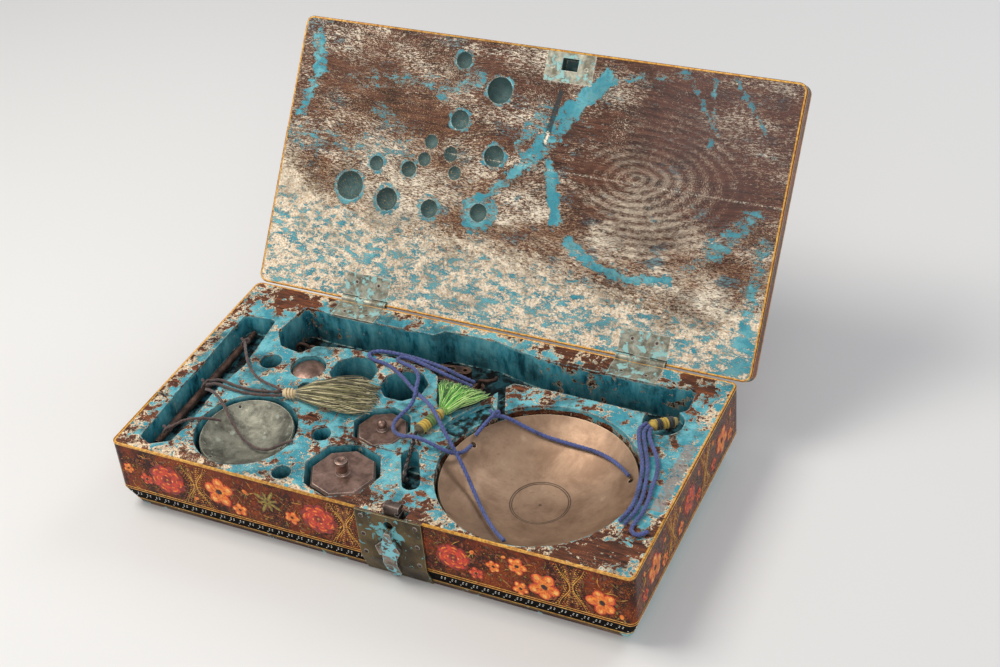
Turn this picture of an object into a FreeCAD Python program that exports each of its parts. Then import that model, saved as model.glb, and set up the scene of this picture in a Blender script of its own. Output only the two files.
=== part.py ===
import FreeCAD, Part
import math
import os
from FreeCAD import Vector

# Merchant's scale box: a lacquered wooden case, hinged at the back, whose carved
# tray holds two hand scales with their pans, cords and tassels, and three weights.
# Millimetres. X runs along the front, Y to the back, Z up; the origin is the centre
# of the underside. The lid stands open at rest.

# Case
box_width = 300.0
box_depth = 156.0
box_height = 46.0
frieze_height = 32.5
plinth_inset = 5.0
case_corner = 4.0
case_edge = 0.8
bottom_thickness = 5.0
front_board_depth = 44.6
board_step = 0.6

# Lid
lid_width = 306.0
lid_length = 161.5
lid_thickness = 12.0
lid_gap = 0.5
lid_open_angle = 127.0
lid_front_board_length = 67.5
lid_board_step = 0.8
lid_corner = 5.0
lid_edge = 1.6
lid_creep = 1.5

# Hinges
hinge_overhang = 1.0
hinge_left_x = -92.0
hinge_right_x = 80.0
leaf_width = 28.5
leaf_length = 16.0
leaf_thickness = 1.2
knuckle_radius = 2.2
hinge_pin_radius = 1.0
hinge_running_gap = 0.05
knuckle_gap = 0.3
knuckle_relief = 0.5
rivet_radius = 1.0
rivet_head_radius = 1.9
rivet_head_height = 0.6
rivet_depth = 6.0
rivet_setback = 5.0

# Lock
plate_x = 19.2
plate_width = 37.7
plate_thickness = 1.0
keyhole_radius = 2.7
keyhole_drop = 6.6
nail_radius = 0.8
nail_head_radius = 1.5
nail_head_height = 0.5
nail_depth = 6.0
nail_margin = 3.5
catch_x = 21.0
catch_width = 8.5
catch_depth = 5.8
catch_rise = 5.0
catch_shank_thickness = 3.0
catch_travel = 2.8
catch_clearance = 0.4
catch_length = 30.0
catch_notch_height = 1.8
catch_notch_depth = 1.8
hasp_width = 8.0
hasp_length = 19.5
hasp_thickness = 1.5
hasp_knob_width = 14.0
hasp_knob_height = 16.0
hasp_knob_thickness = 2.2
lid_plate_width = 29.0
lid_plate_length = 17.0
lid_plate_thickness = 1.0
lid_plate_margin = 1.0
lid_hole_width = 9.7
lid_hole_length = 7.0
lid_mortise_depth = 7.5

# Large balance: a pair of nested pans
large_pan_x = 77.3
large_pan_radius = 51.6
large_pan_depth = 18.5
large_pan_thickness = 1.0
large_pan_rim_drop = 5.0
large_recess_clearance = 1.4
front_wall = 1.5
large_nest_step = 2.0
pan_hole_radius = 1.4
pan_hole_inset = 4.6
pan_hole_angles = (-87.0, 22.0, 160.0)

# Small balance: a pair of nested saucers
small_pan_x = -84.8
small_pan_y = -44.0
small_pan_radius = 26.0
small_pan_depth = 8.5
small_pan_thickness = 0.9
small_pan_rim_drop = 3.5
small_recess_clearance = 2.5
small_nest_step = 1.9
small_pan_tilt = 4.0
small_pan_hole_radius = 0.8
small_pan_hole_inset = 2.6
small_pan_hole_turn = -30.0
seat_gap = 0.3

# Weights
large_weight_x = -19.3
large_weight_y = -54.9
large_weight_radius = 18.4
large_weight_height = 19.0
large_weight_drop = 2.5
large_weight_clearance = 3.1
medium_weight_x = -15.5
medium_weight_y = -17.5
medium_weight_radius = 14.6
medium_weight_height = 16.0
medium_weight_drop = 2.0
medium_weight_clearance = 1.9
weight_turn = 3.6
weight_edge = 1.2
small_weight_x = -78.9
small_weight_y = 14.3
small_weight_radius = 9.2
small_weight_height = 13.0
small_weight_clearance = 1.0
large_knob_radius = 3.7
large_knob_height = 8.5
medium_knob_radius = 2.7
medium_knob_height = 6.0

# Empty seats: x, y, radius, depth
round_seats = (
    (-102.1, 12.1, 6.4, 18.0),
    (-71.6, -2.0, 4.2, 14.0),
    (-43.9, -33.6, 5.4, 17.0),
    (-48.9, -67.5, 5.3, 17.0),
)
octagon_seats = (
    (-52.5, 19.5, 14.0, 24.0),
    (-20.2, 17.5, 13.8, 22.0),
)
# Hollows in the lid for the knobs of weights that have gone: x, y when closed, radius, depth
lid_dimples = (
    (-43.1, -68.9, 5.0, 3.4),
    (-39.0, -34.9, 5.7, 4.2),
    (-54.3, -19.9, 4.3, 2.8),
    (-40.8, -14.6, 4.5, 3.0),
    (-56.7, -9.3, 4.2, 2.8),
    (-86.7, -2.3, 4.6, 3.0),
    (-65.4, -2.1, 4.8, 3.2),
    (-36.2, -4.3, 4.2, 2.2),
    (-101.3, 13.1, 8.6, 5.6),
    (-75.9, 17.2, 6.8, 4.8),
    (-48.0, 18.4, 5.4, 4.2),
    (-17.1, 15.6, 5.3, 4.2),
)
large_dimple_radius = 7.7
large_dimple_depth = 7.6
medium_dimple_radius = 6.2
medium_dimple_depth = 5.2

# Compartments, as outlines seen from above
trough_outline = (
    (-109.0, 64.5), (-112.5, 38.0), (-104.0, 26.5), (-90.0, 24.0), (-84.5, 32.5),
    (-68.0, 36.5), (-46.0, 38.0), (-16.0, 35.5), (-6.0, 30.8),
    (-1.0, 20.0), (3.6, 10.0), (9.0, 5.0), (15.5, 6.0), (24.5, 15.5), (31.0, 28.0), (36.0, 38.5),
    (58.0, 39.5), (106.0, 38.5), (124.0, 40.0),
    (132.5, 48.0), (131.5, 66.0), (112.0, 63.0), (46.0, 62.5), (30.0, 65.5),
    (12.0, 70.0), (-20.0, 69.5), (-24.0, 64.0), (-62.0, 63.0), (-94.0, 63.0),
)
trough_depth = 22.0
side_outline = (
    (-139.5, 46.0), (-139.0, 10.0), (-138.5, -40.0), (-137.5, -68.0), (-129.0, -72.0),
    (-119.0, -66.0), (-117.5, -48.0), (-118.5, -20.0), (-114.5, 4.0), (-117.0, 28.0),
    (-119.0, 47.0),
)
side_depth = 13.0
carved_corner = 3.0
bead_notch_x = 123.5
bead_notch_y = 35.0
bead_notch_radius = 11.0
bead_notch_depth = 6.0
cord_groove = ((31.0, 35.0), (41.5, 10.0))
cord_groove_width = 4.2
cord_groove_depth = 6.0
ring_dip_depth = 3.0
ring_dip_reach = 11.0
ring_dip_angles = (137.0, 168.0)
hook_slot_start = (9.5, -33.8)
hook_slot_end = (19.5, -52.6)
hook_slot_width = 9.5
hook_slot_depth = 12.0

# Beams
large_beam_y = 46.5
large_beam_left_x = -98.0
large_beam_right_x = 10.0
large_beam_radius = 3.0
large_beam_tip_radius = 1.6
beam_pointer_length = 9.5
beam_pivot_radius = 1.2
beam_boss_radius = 4.0
beam_boss_half = 3.3
shears_length = 44.0
shears_width = 6.0
shears_strap = 1.4
shears_bridge = 5.0
shears_gap = 0.4
shears_fold_angle = 9.0
beam_hook_wire = 1.1
beam_eye_radius = 1.9
beam_eye_wall = 1.5
beam_eye_thickness = 2.4
small_beam_x = -133.4
small_beam_y = -9.0
small_beam_length = 104.0
small_beam_radius = 2.5
small_beam_tip_radius = 1.7
small_beam_hole = 0.6

# Cords, tassels and bindings
blue_diameter = 2.3
brown_diameter = 1.8
hook_wire = 1.3
binding_radius = 3.3
binding_length = 19.0
binding_turns = 9
olive_binding_radius = 3.1
olive_binding_length = 7.6
olive_binding_turns = 3
bead_radius = 3.2
bead_length = 15.6
bead_turns = 7
bead_end_x = 118.8
bead_end_y = 28.4
bead_end_rise = 1.0
bead_run_x = 10.4
bead_run_y = 12.2
bead_dip = 3.4
binding_thread = 1.2
thread_gap = 0.1
knot_radius = 2.4
knot_x = 37.0
knot_y = 11.0

# Worked out from the sizes above
half_width = box_width / 2
half_depth = box_depth / 2
plinth_top = box_height - frieze_height
front_top = box_height - board_step
seam_y = -half_depth + front_board_depth
hinge_y = half_depth + hinge_overhang
hinge_z = box_height + lid_gap / 2
lid_under = box_height + lid_gap
lid_left = -half_width
lid_seam_y = hinge_y - (lid_length - lid_front_board_length)
large_recess_radius = large_pan_radius + large_recess_clearance
large_pan_y = -half_depth + front_wall + large_recess_radius
large_rim_z = box_height - large_pan_rim_drop
small_rim_z = box_height - small_pan_rim_drop
trough_floor = box_height - trough_depth
side_floor = box_height - side_depth
lid_hole_y = -half_depth + catch_depth / 2 + catch_clearance
above = 20.0


def prism(wire, height):
    return Part.Face(wire).extrude(Vector(0, 0, height))


def polygon(points):
    return Part.makePolygon([*points, points[0]])


def rounded_outline(points, radius, z):
    """A closed wire through the points, with an arc at each corner."""
    corners = [Vector(x, y, z) for x, y in points]
    edges, ends = [], []
    for i, corner in enumerate(corners):
        before, after = corners[i - 1] - corner, corners[(i + 1) % len(corners)] - corner
        half = before.getAngle(after) / 2
        reach = min(radius / math.tan(half), 0.45 * before.Length, 0.45 * after.Length)
        start = corner + before.normalize() * reach
        end = corner + after.normalize() * reach
        inward = (before + after).normalize()
        distance = reach / math.cos(half)
        middle = corner + inward * (distance - reach * math.tan(half))
        edges.append(Part.Arc(start, middle, end).toShape())
        ends.append((start, end))
    for i, (start, _) in enumerate(ends):
        edges.append(Part.LineSegment(ends[i - 1][1], start).toShape())
    return Part.Wire(Part.__sortEdges__(edges))


def rectangle_points(x0, x1, y0, y1):
    return ((x0, y0), (x1, y0), (x1, y1), (x0, y1))


def octagon_points(x, y, radius, turn):
    angles = (math.radians(turn + 45 * i) for i in range(8))
    return tuple((x + radius * math.cos(a), y + radius * math.sin(a)) for a in angles)


def block(x0, x1, y0, y1, z0, z1):
    return Part.makeBox(x1 - x0, y1 - y0, z1 - z0, Vector(x0, y0, z0))


def pocket(points, depth, corner=carved_corner):
    floor = box_height - depth
    return prism(rounded_outline(points, corner, floor), depth + above)


def bore(x, y, radius, floor, top=box_height + above):
    return Part.makeCylinder(radius, top - floor, Vector(x, y, floor))


def bar(start, end, width, floor, top):
    """A round-ended slot cutter between two points seen from above."""
    along = Vector(end[0] - start[0], end[1] - start[1], 0)
    length = along.Length
    middle = Part.makeBox(length, width, top - floor, Vector(0, -width / 2, floor))
    middle.rotate(Vector(), Vector(0, 0, 1), math.degrees(math.atan2(along.y, along.x)))
    middle.translate(Vector(start[0], start[1], 0))
    ends = [bore(x, y, width / 2, floor, top) for x, y in (start, end)]
    return middle.fuse(ends).removeSplitter()


def round_edges(shape, radius, test):
    edges = [e for e in shape.Edges if test(e.BoundBox)]
    return shape.makeFillet(radius, edges)


# The carved case


def case_blank(height):
    outline = rectangle_points(-half_width, half_width, -half_depth, half_depth)
    foot = [(x - math.copysign(plinth_inset, x), y - math.copysign(plinth_inset, y)) for x, y in outline]
    upper = prism(rounded_outline(outline, case_corner, plinth_top), height - plinth_top)
    upper = round_edges(upper, case_edge, lambda b: b.ZMin > height - 0.01)
    wires = [rounded_outline(foot, case_corner, 0), rounded_outline(outline, case_corner, plinth_top)]
    lower = Part.makeLoft(wires, True, True)
    return upper.fuse(lower).removeSplitter()


def hinge_relief():
    """The grooves that the knuckles turn in, in the case and in the closed lid."""
    radius = knuckle_radius + knuckle_relief
    return [
        Part.makeCylinder(radius, leaf_width + 2 * knuckle_relief,
                          Vector(x - knuckle_relief, hinge_y, hinge_z), Vector(1, 0, 0))
        for x in (hinge_left_x, hinge_right_x)
    ]


def rivet_places(sign):
    """The two rivets of each leaf; sign is -1 in the case's top and +1 in the closed lid."""
    z = box_height if sign < 0 else lid_under
    y = hinge_y - leaf_length + rivet_setback
    inset = leaf_width / 4
    return [Vector(x + dx, y, z) for x in (hinge_left_x, hinge_right_x) for dx in (inset, leaf_width - inset)]


def leaf_beds(sign):
    z = box_height - leaf_thickness if sign < 0 else lid_under
    beds = [
        block(x, x + leaf_width, hinge_y - leaf_length, hinge_y + 1, z, z + leaf_thickness)
        for x in (hinge_left_x, hinge_right_x)
    ]
    holes = [
        Part.makeCylinder(rivet_radius + hinge_running_gap, rivet_depth + 0.2, p, Vector(0, 0, sign))
        for p in rivet_places(sign)
    ]
    return beds + holes


def ring_dip():
    """The low stretch of the pan's ring wall, left of the raised block."""
    start, end = ring_dip_angles
    ring = bore(large_pan_x, large_pan_y, large_recess_radius + ring_dip_reach, box_height - ring_dip_depth)
    far = 2 * large_recess_radius
    points = [Vector(large_pan_x, large_pan_y, 0)]
    for angle in (start, (start + end) / 2, end):
        a = math.radians(angle)
        points.append(Vector(large_pan_x + far * math.cos(a), large_pan_y + far * math.sin(a), 0))
    return ring.common(prism(polygon(points), box_height + above))


def lock_mortise():
    return block(
        catch_x - catch_width / 2 - catch_clearance,
        catch_x + catch_width / 2 + catch_travel + catch_clearance,
        -half_depth - 1,
        -half_depth + catch_depth + 2 * catch_clearance,
        box_height - catch_length - catch_clearance,
        box_height + above,
    )


def nail_places():
    x0, x1 = plate_x - plate_width / 2 + nail_margin, plate_x + plate_width / 2 - nail_margin
    heights = (front_top - nail_margin, (front_top + plinth_top) / 2, plinth_top + nail_margin)
    return [Vector(x, -half_depth - plate_thickness, z) for x in (x0, x1) for z in heights]


def tray_cutters():
    large_floor = large_rim_z - large_pan_depth - large_nest_step - seat_gap
    small_floor = small_rim_z - small_pan_depth - small_nest_step - seat_gap - small_tilt_drop()
    cutters = [
        bore(large_pan_x, large_pan_y, large_recess_radius, large_floor),
        bore(small_pan_x, small_pan_y, small_pan_radius + small_recess_clearance, small_floor),
        pocket(trough_outline, trough_depth),
        pocket(side_outline, side_depth),
        bore(bead_notch_x, bead_notch_y, bead_notch_radius, box_height - bead_notch_depth),
        bar(*cord_groove, cord_groove_width, box_height - cord_groove_depth, box_height + above),
        bar(hook_slot_start, hook_slot_end, hook_slot_width, box_height - hook_slot_depth, box_height + above),
        ring_dip(),
        lock_mortise(),
        bore(small_weight_x, small_weight_y, small_weight_radius + small_weight_clearance,
             box_height - small_weight_height - seat_gap),
    ]
    cutters += [bore(x, y, radius, box_height - depth) for x, y, radius, depth in round_seats]
    for x, y, radius, depth in octagon_seats:
        cutters.append(pocket(octagon_points(x, y, radius, 22.5), depth))
    for x, y, radius, depth in weight_seats():
        cutters.append(pocket(octagon_points(x, y, radius, weight_turn), depth, weight_edge))
    cutters += hinge_relief() + leaf_beds(-1)
    cutters += [
        Part.makeCylinder(nail_radius + hinge_running_gap, nail_depth + 0.2, p + Vector(0, plate_thickness, 0),
                          Vector(0, 1, 0))
        for p in nail_places()
    ]
    return cutters


def small_tilt_drop():
    return small_pan_radius * math.sin(math.radians(small_pan_tilt)) * small_pan_depth / small_pan_radius


def weight_seats():
    return (
        (large_weight_x, large_weight_y, large_weight_radius + large_weight_clearance,
         large_weight_height + large_weight_drop + seat_gap),
        (medium_weight_x, medium_weight_y, medium_weight_radius + medium_weight_clearance,
         medium_weight_height + medium_weight_drop + seat_gap),
    )


def make_case():
    wide = box_width
    front_half = block(-wide, wide, -wide, seam_y, bottom_thickness, box_height + above)
    back_half = block(-wide, wide, seam_y, wide, bottom_thickness, box_height + above)
    foot = block(-wide, wide, -wide, wide, -1, bottom_thickness)
    cutters = tray_cutters()
    front = case_blank(front_top).common(front_half).cut(cutters)
    back = case_blank(box_height).common(back_half).cut(cutters)
    return {
        "tray_front_board": front,
        "tray_back_board": back,
        "bottom_board": case_blank(box_height).common(foot),
    }


# The lid, drawn closed and then swung open


def swing_open(shape):
    shape.rotate(Vector(0, hinge_y, hinge_z), Vector(-1, 0, 0), lid_open_angle)
    return shape


def dimple(x, y, radius, depth):
    ball = (radius ** 2 + depth ** 2) / (2 * depth)
    return Part.makeSphere(ball, Vector(x, y, lid_under + depth - ball))


def lid_cutters():
    places = list(lid_dimples)
    places.append((large_weight_x + lid_creep, large_weight_y, large_dimple_radius, large_dimple_depth))
    places.append((medium_weight_x + lid_creep, medium_weight_y, medium_dimple_radius, medium_dimple_depth))
    mortise = block(
        catch_x - lid_hole_width / 2,
        catch_x + catch_width / 2 + catch_travel + 2 * catch_clearance,
        lid_hole_y - lid_hole_length / 2,
        lid_hole_y + lid_hole_length / 2,
        lid_under - 1,
        lid_under + lid_mortise_depth,
    )
    x0, x1, y0, y1 = lid_plate_edges()
    bed = block(x0, x1, y0, y1, lid_under - 1, lid_under + lid_plate_thickness)
    rivets = [
        Part.makeCylinder(rivet_radius + hinge_running_gap, rivet_depth + 0.2, p, Vector(0, 0, 1))
        for p in lid_plate_rivets()
    ]
    return [dimple(*place) for place in places] + [mortise, bed] + rivets + hinge_relief() + leaf_beds(1)


def lid_plate_edges():
    x = catch_x + catch_clearance
    front = hinge_y - lid_length + lid_plate_margin
    return x - lid_plate_width / 2, x + lid_plate_width / 2, front, front + lid_plate_length


def lid_plate_rivets():
    x0, x1, _, y1 = lid_plate_edges()
    inset = 4.5
    return [Vector(x, y1 - lid_plate_length / 2, lid_under) for x in (x0 + inset, x1 - inset)]


def rivet(place, sign, head_radius=rivet_head_radius):
    """A rivet whose low domed head stands on the leaf; sign gives the way its shank points."""
    shank = Part.makeCylinder(rivet_radius, rivet_depth, place, Vector(0, 0, sign))
    ball = (head_radius ** 2 + rivet_head_height ** 2) / (2 * rivet_head_height)
    centre = place + Vector(0, 0, sign * (ball - rivet_head_height))
    cap = Part.makeSphere(ball, centre)
    low, high = sorted((place.z, place.z - sign * rivet_head_height))
    cap = cap.common(block(place.x - 9, place.x + 9, place.y - 9, place.y + 9, low, high))
    return shank.fuse(cap).removeSplitter()


def make_lid():
    y0 = hinge_y - lid_length
    outline = rectangle_points(lid_left, lid_left + lid_width, y0, hinge_y)
    blank = prism(rounded_outline(outline, lid_corner, lid_under), lid_thickness)
    top = lid_under + lid_thickness
    blank = round_edges(blank, lid_edge, lambda b: b.ZMin > top - 0.01)
    cutters = lid_cutters()
    wide = 2 * lid_width
    front_part = block(lid_left + lid_board_step, wide, -wide, lid_seam_y, 0, wide)
    back_part = block(-wide, wide, lid_seam_y, wide, 0, wide)
    x0, x1, py0, py1 = lid_plate_edges()
    plate = block(x0, x1, py0, py1, lid_under, lid_under + lid_plate_thickness)
    hole_x = catch_x + catch_clearance
    hole = block(hole_x - lid_hole_width / 2, hole_x + lid_hole_width / 2,
                 lid_hole_y - lid_hole_length / 2, lid_hole_y + lid_hole_length / 2,
                 lid_under - 1, lid_under + 9)
    shanks = [
        Part.makeCylinder(rivet_radius + hinge_running_gap, 9, p - Vector(0, 0, 1), Vector(0, 0, 1))
        for p in lid_plate_rivets()
    ]
    flush = [sink_head(rivet(p + Vector(0, 0, 0), 1), p) for p in lid_plate_rivets()]
    parts = {
        "lid_front_board": blank.common(front_part).cut(cutters),
        "lid_back_board": blank.common(back_part).cut(cutters),
        "lid_catch_plate": plate.cut([hole, *shanks]),
        "lid_catch_rivets": Part.makeCompound(flush),
    }
    return {name: swing_open(shape) for name, shape in parts.items()}


def sink_head(shape, place):
    """A rivet filed flush with the face that it holds."""
    return shape.common(block(place.x - 9, place.x + 9, place.y - 9, place.y + 9, place.z, place.z + 9))


# Hinges


def knuckle_spans(x, outer):
    third = leaf_width / 3
    if outer:
        return ((x, third - knuckle_gap / 2), (x + 2 * third + knuckle_gap / 2, third - knuckle_gap / 2))
    return ((x + third + knuckle_gap / 2, third - knuckle_gap),)


def hinge_leaf(x, outer):
    """One leaf with its knuckles: outer for the case's leaf, inner for the closed lid's."""
    z = box_height - leaf_thickness if outer else lid_under
    edge = hinge_y - knuckle_radius - knuckle_relief
    plate = block(x, x + leaf_width, hinge_y - leaf_length, edge, z, z + leaf_thickness)
    pieces = []
    for start, width in knuckle_spans(x, outer):
        pieces.append(block(start, start + width, edge - 0.1, hinge_y, z, z + leaf_thickness))
        end = Vector(start, hinge_y, hinge_z)
        pieces.append(Part.makeCylinder(knuckle_radius, width, end, Vector(1, 0, 0)))
    leaf = plate.fuse(pieces).removeSplitter()
    pin_hole = Part.makeCylinder(hinge_pin_radius + hinge_running_gap, leaf_width + 2,
                                 Vector(x - 1, hinge_y, hinge_z), Vector(1, 0, 0))
    sign = -1 if outer else 1
    holes = [
        Part.makeCylinder(rivet_radius + hinge_running_gap, 9, p - Vector(0, 0, 4.5), Vector(0, 0, 1))
        for p in rivet_places(sign)
    ]
    return leaf.cut([pin_hole, *holes])


def make_hinges():
    parts = {}
    for side, x in (("left", hinge_left_x), ("right", hinge_right_x)):
        parts[f"hinge_{side}_case_leaf"] = hinge_leaf(x, True)
        parts[f"hinge_{side}_lid_leaf"] = swing_open(hinge_leaf(x, False))
        parts[f"hinge_{side}_pin"] = Part.makeCylinder(
            hinge_pin_radius, leaf_width, Vector(x, hinge_y, hinge_z), Vector(1, 0, 0))
    case_rivets = [sink_head(rivet(p, -1), p - Vector(0, 0, 9)) for p in rivet_places(-1)]
    lid_rivets = [sink_head(rivet(p, 1), p) for p in rivet_places(1)]
    parts["hinge_case_rivets"] = Part.makeCompound(case_rivets)
    parts["hinge_lid_rivets"] = swing_open(Part.makeCompound(lid_rivets))
    return parts


# The lock on the front


def plate_profile(inner, outer):
    """A sheet that lies on the front and bends in under it along the plinth, seen from the side."""
    slope = plinth_inset / plinth_top
    low = 0.6
    foot = -half_depth + plinth_inset - slope * low
    points = ((-half_depth - inner, front_top), (-half_depth - outer, front_top),
              (-half_depth - outer, plinth_top), (foot - outer, low), (foot - inner, low),
              (-half_depth - inner, plinth_top))
    return [Vector(0, y, z) for y, z in points]


def front_sheet(x0, x1, inner, outer):
    face = Part.Face(polygon(plate_profile(inner, outer)))
    sheet = face.extrude(Vector(x1 - x0, 0, 0))
    sheet.translate(Vector(x0, 0, 0))
    return sheet


def front_prism(points):
    """A prism along Y from an outline given as x and z."""
    wire = polygon([Vector(x, -half_depth - 10, z) for x, z in points])
    return Part.Face(wire).extrude(Vector(0, 20, 0))


def nail(place):
    shank = Part.makeCylinder(nail_radius, nail_depth + plate_thickness, place, Vector(0, 1, 0))
    ball = (nail_head_radius ** 2 + nail_head_height ** 2) / (2 * nail_head_height)
    cap = Part.makeSphere(ball, place + Vector(0, ball - nail_head_height, 0))
    shown = block(place.x - 5, place.x + 5, place.y - nail_head_height, place.y, place.z - 5, place.z + 5)
    cap = cap.common(shown)
    return shank.fuse(cap).removeSplitter()


def make_lock():
    x0, x1 = plate_x - plate_width / 2, plate_x + plate_width / 2
    keyhole = Part.makeCylinder(keyhole_radius, 9, Vector(plate_x, -half_depth - 5, box_height - keyhole_drop),
                                Vector(0, 1, 0))
    nail_holes = [
        Part.makeCylinder(nail_radius + hinge_running_gap, 9, p - Vector(0, 1, 0), Vector(0, 1, 0))
        for p in nail_places()
    ]
    plate = front_sheet(x0, x1, 0, plate_thickness).cut([keyhole, *nail_holes])
    tip = plate_x - 1.2
    half = hasp_width / 2
    top = hasp_length
    outline = ((tip - half, top), (tip - half, 5.0), (tip - 0.8, 0.6), (tip + 0.8, 0.6), (tip + half, 5.0),
               (tip + half, top))
    strap = front_sheet(x0, x1, plate_thickness, plate_thickness + hasp_thickness).common(front_prism(outline))
    knob_outer = plate_thickness + hasp_knob_thickness
    half = hasp_knob_width / 2
    high = top + hasp_knob_height
    outline = ((tip - half, top + 5.5), (tip - half * 0.75, top + 0.1), (tip + half * 0.75, top + 0.1),
               (tip + half, top + 4.5), (tip + 3.4, high - 5.0), (tip + 2.4, high), (tip - 0.6, high),
               (tip - 2.2, high - 5.5))
    knob = front_sheet(x0, x1, plate_thickness, knob_outer).common(front_prism(outline))
    return {
        "lock_plate": plate,
        "lock_plate_nails": Part.makeCompound([nail(p) for p in nail_places()]),
        "hasp_strap": strap,
        "hasp_knuckle": knob,
        "catch_bolt": make_catch(),
    }


def make_catch():
    """The key-thrown hook: a shank in the mortise and a notched lug that enters the lid."""
    x0, x1 = catch_x - catch_width / 2, catch_x + catch_width / 2
    y0 = -half_depth + catch_clearance
    lug = block(x0, x1, y0, y0 + catch_depth, box_height - 3, box_height + catch_rise)
    lug = round_edges(lug, 1.8, lambda b: b.ZMin > box_height + catch_rise - 0.01 and b.YLength < 0.01)
    middle = y0 + catch_depth / 2
    shank = block(x0, x1, middle - catch_shank_thickness / 2, middle + catch_shank_thickness / 2,
                  box_height - catch_length, box_height - 3)
    notch_z = lid_under - 0.4
    notch = block(x1 - catch_notch_depth, x1 + 1, y0 - 1, y0 + catch_depth + 1,
                  notch_z, notch_z + catch_notch_height)
    return lug.fuse(shank).removeSplitter().cut(notch)


# Pans, weights and beams


def pan(radius, depth, thickness):
    """A dish of one thickness, a cap of a ball, turned about its axis with its outer bottom at the origin."""
    ball = (radius ** 2 + depth ** 2) / (2 * depth)
    rim = math.asin(radius / ball)

    def on_ball(r, angle):
        return Vector(r * math.sin(angle), 0, ball - r * math.cos(angle))

    edges = []
    for r in (ball, ball - thickness):
        edges.append(Part.Arc(on_ball(r, 0), on_ball(r, rim / 2), on_ball(r, rim)).toShape())
    for angle in (0, rim):
        edges.append(Part.LineSegment(on_ball(ball, angle), on_ball(ball - thickness, angle)).toShape())
    wire = Part.Wire(Part.__sortEdges__(edges))
    return Part.Face(wire).revolve(Vector(), Vector(0, 0, 1), 360)


def cord_holes(reach, turn, radius):
    """The holes near a pan's rim that its cords are tied through."""
    angles = (math.radians(angle + turn) for angle in pan_hole_angles)
    places = [Vector(reach * math.cos(a), reach * math.sin(a), -20) for a in angles]
    return [Part.makeCylinder(radius, 60, place) for place in places]


def large_pan(rim_z):
    dish = pan(large_pan_radius, large_pan_depth, large_pan_thickness)
    dish = dish.cut(cord_holes(large_pan_radius - pan_hole_inset, 0, pan_hole_radius))
    dish.translate(Vector(large_pan_x, large_pan_y, rim_z - large_pan_depth))
    return dish


def small_pan(rim_z):
    dish = pan(small_pan_radius, small_pan_depth, small_pan_thickness)
    reach = small_pan_radius - small_pan_hole_inset
    dish = dish.cut(cord_holes(reach, small_pan_hole_turn, small_pan_hole_radius))
    dish.rotate(Vector(0, 0, small_pan_depth), Vector(1, 0, 0), small_pan_tilt)
    dish.translate(Vector(small_pan_x, small_pan_y, rim_z - small_pan_depth))
    return dish


def make_pans():
    return {
        "large_pan_upper": large_pan(large_rim_z),
        "large_pan_lower": large_pan(large_rim_z - large_nest_step),
        "small_pan_upper": small_pan(small_rim_z),
        "small_pan_lower": small_pan(small_rim_z - small_nest_step),
    }


def octagon_weight(x, y, radius, height, drop, knob_radius):
    """A block with a chamfered top edge and a socket for its knob's stem."""
    top = box_height - drop
    wire = polygon([Vector(px, py, top - height) for px, py in octagon_points(x, y, radius, weight_turn)])
    body = prism(wire, height)
    edges = [e for e in body.Edges if e.BoundBox.ZMin > top - 0.01]
    body = body.makeChamfer(weight_edge, edges)
    socket = Part.makeCylinder(knob_radius * 0.5 + hinge_running_gap, 5, Vector(x, y, top - 5))
    return body.cut(socket)


def turned(x, y, z, profile):
    """A piece turned about a vertical axis from (radius, height) points."""
    points = [Vector(x + r, y, z + h) for r, h in profile]
    return Part.Face(polygon(points)).revolve(Vector(x, y, z), Vector(0, 0, 1), 360)


def barrel_knob(x, y, top, radius, height):
    """A short barrel with a hollowed crown, on a stem that goes down into the weight."""
    return turned(x, y, top, (
        (0, -4.8), (radius * 0.5, -4.8), (radius * 0.5, 0), (radius * 1.05, 0), (radius * 0.8, height * 0.14),
        (radius * 0.86, height * 0.6), (radius, height * 0.8), (radius * 0.92, height * 0.96),
        (radius * 0.62, height), (0, height * 0.93),
    ))


def ball_knob(x, y, top, radius, height):
    """A collar and a ball on a stem that goes down into the weight."""
    stem = Part.makeCylinder(radius * 0.5, height * 0.5 + 4.8, Vector(x, y, top - 4.8))
    collar = Part.makeCone(radius * 1.15, radius * 0.55, height * 0.3, Vector(x, y, top))
    ball = Part.makeSphere(radius, Vector(x, y, top + height - radius))
    return stem.fuse([collar, ball]).removeSplitter()


def make_weights():
    large_top = box_height - large_weight_drop
    medium_top = box_height - medium_weight_drop
    disc = Part.makeCylinder(small_weight_radius, small_weight_height - 2.2,
                             Vector(small_weight_x, small_weight_y, box_height - small_weight_height))
    ball = (small_weight_radius ** 2 + 2.2 ** 2) / (2 * 2.2)
    dome = Part.makeSphere(ball, Vector(small_weight_x, small_weight_y, box_height - ball))
    dome = dome.common(bore(small_weight_x, small_weight_y, small_weight_radius, box_height - 2.2))
    return {
        "weight_large": octagon_weight(large_weight_x, large_weight_y, large_weight_radius,
                                       large_weight_height, large_weight_drop, large_knob_radius),
        "weight_large_knob": barrel_knob(large_weight_x, large_weight_y, large_top, large_knob_radius,
                                         large_knob_height),
        "weight_medium": octagon_weight(medium_weight_x, medium_weight_y, medium_weight_radius,
                                        medium_weight_height, medium_weight_drop, medium_knob_radius),
        "weight_medium_knob": ball_knob(medium_weight_x, medium_weight_y, medium_top, medium_knob_radius,
                                        medium_knob_height),
        "weight_small": disc.fuse(dome).removeSplitter(),
    }


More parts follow.
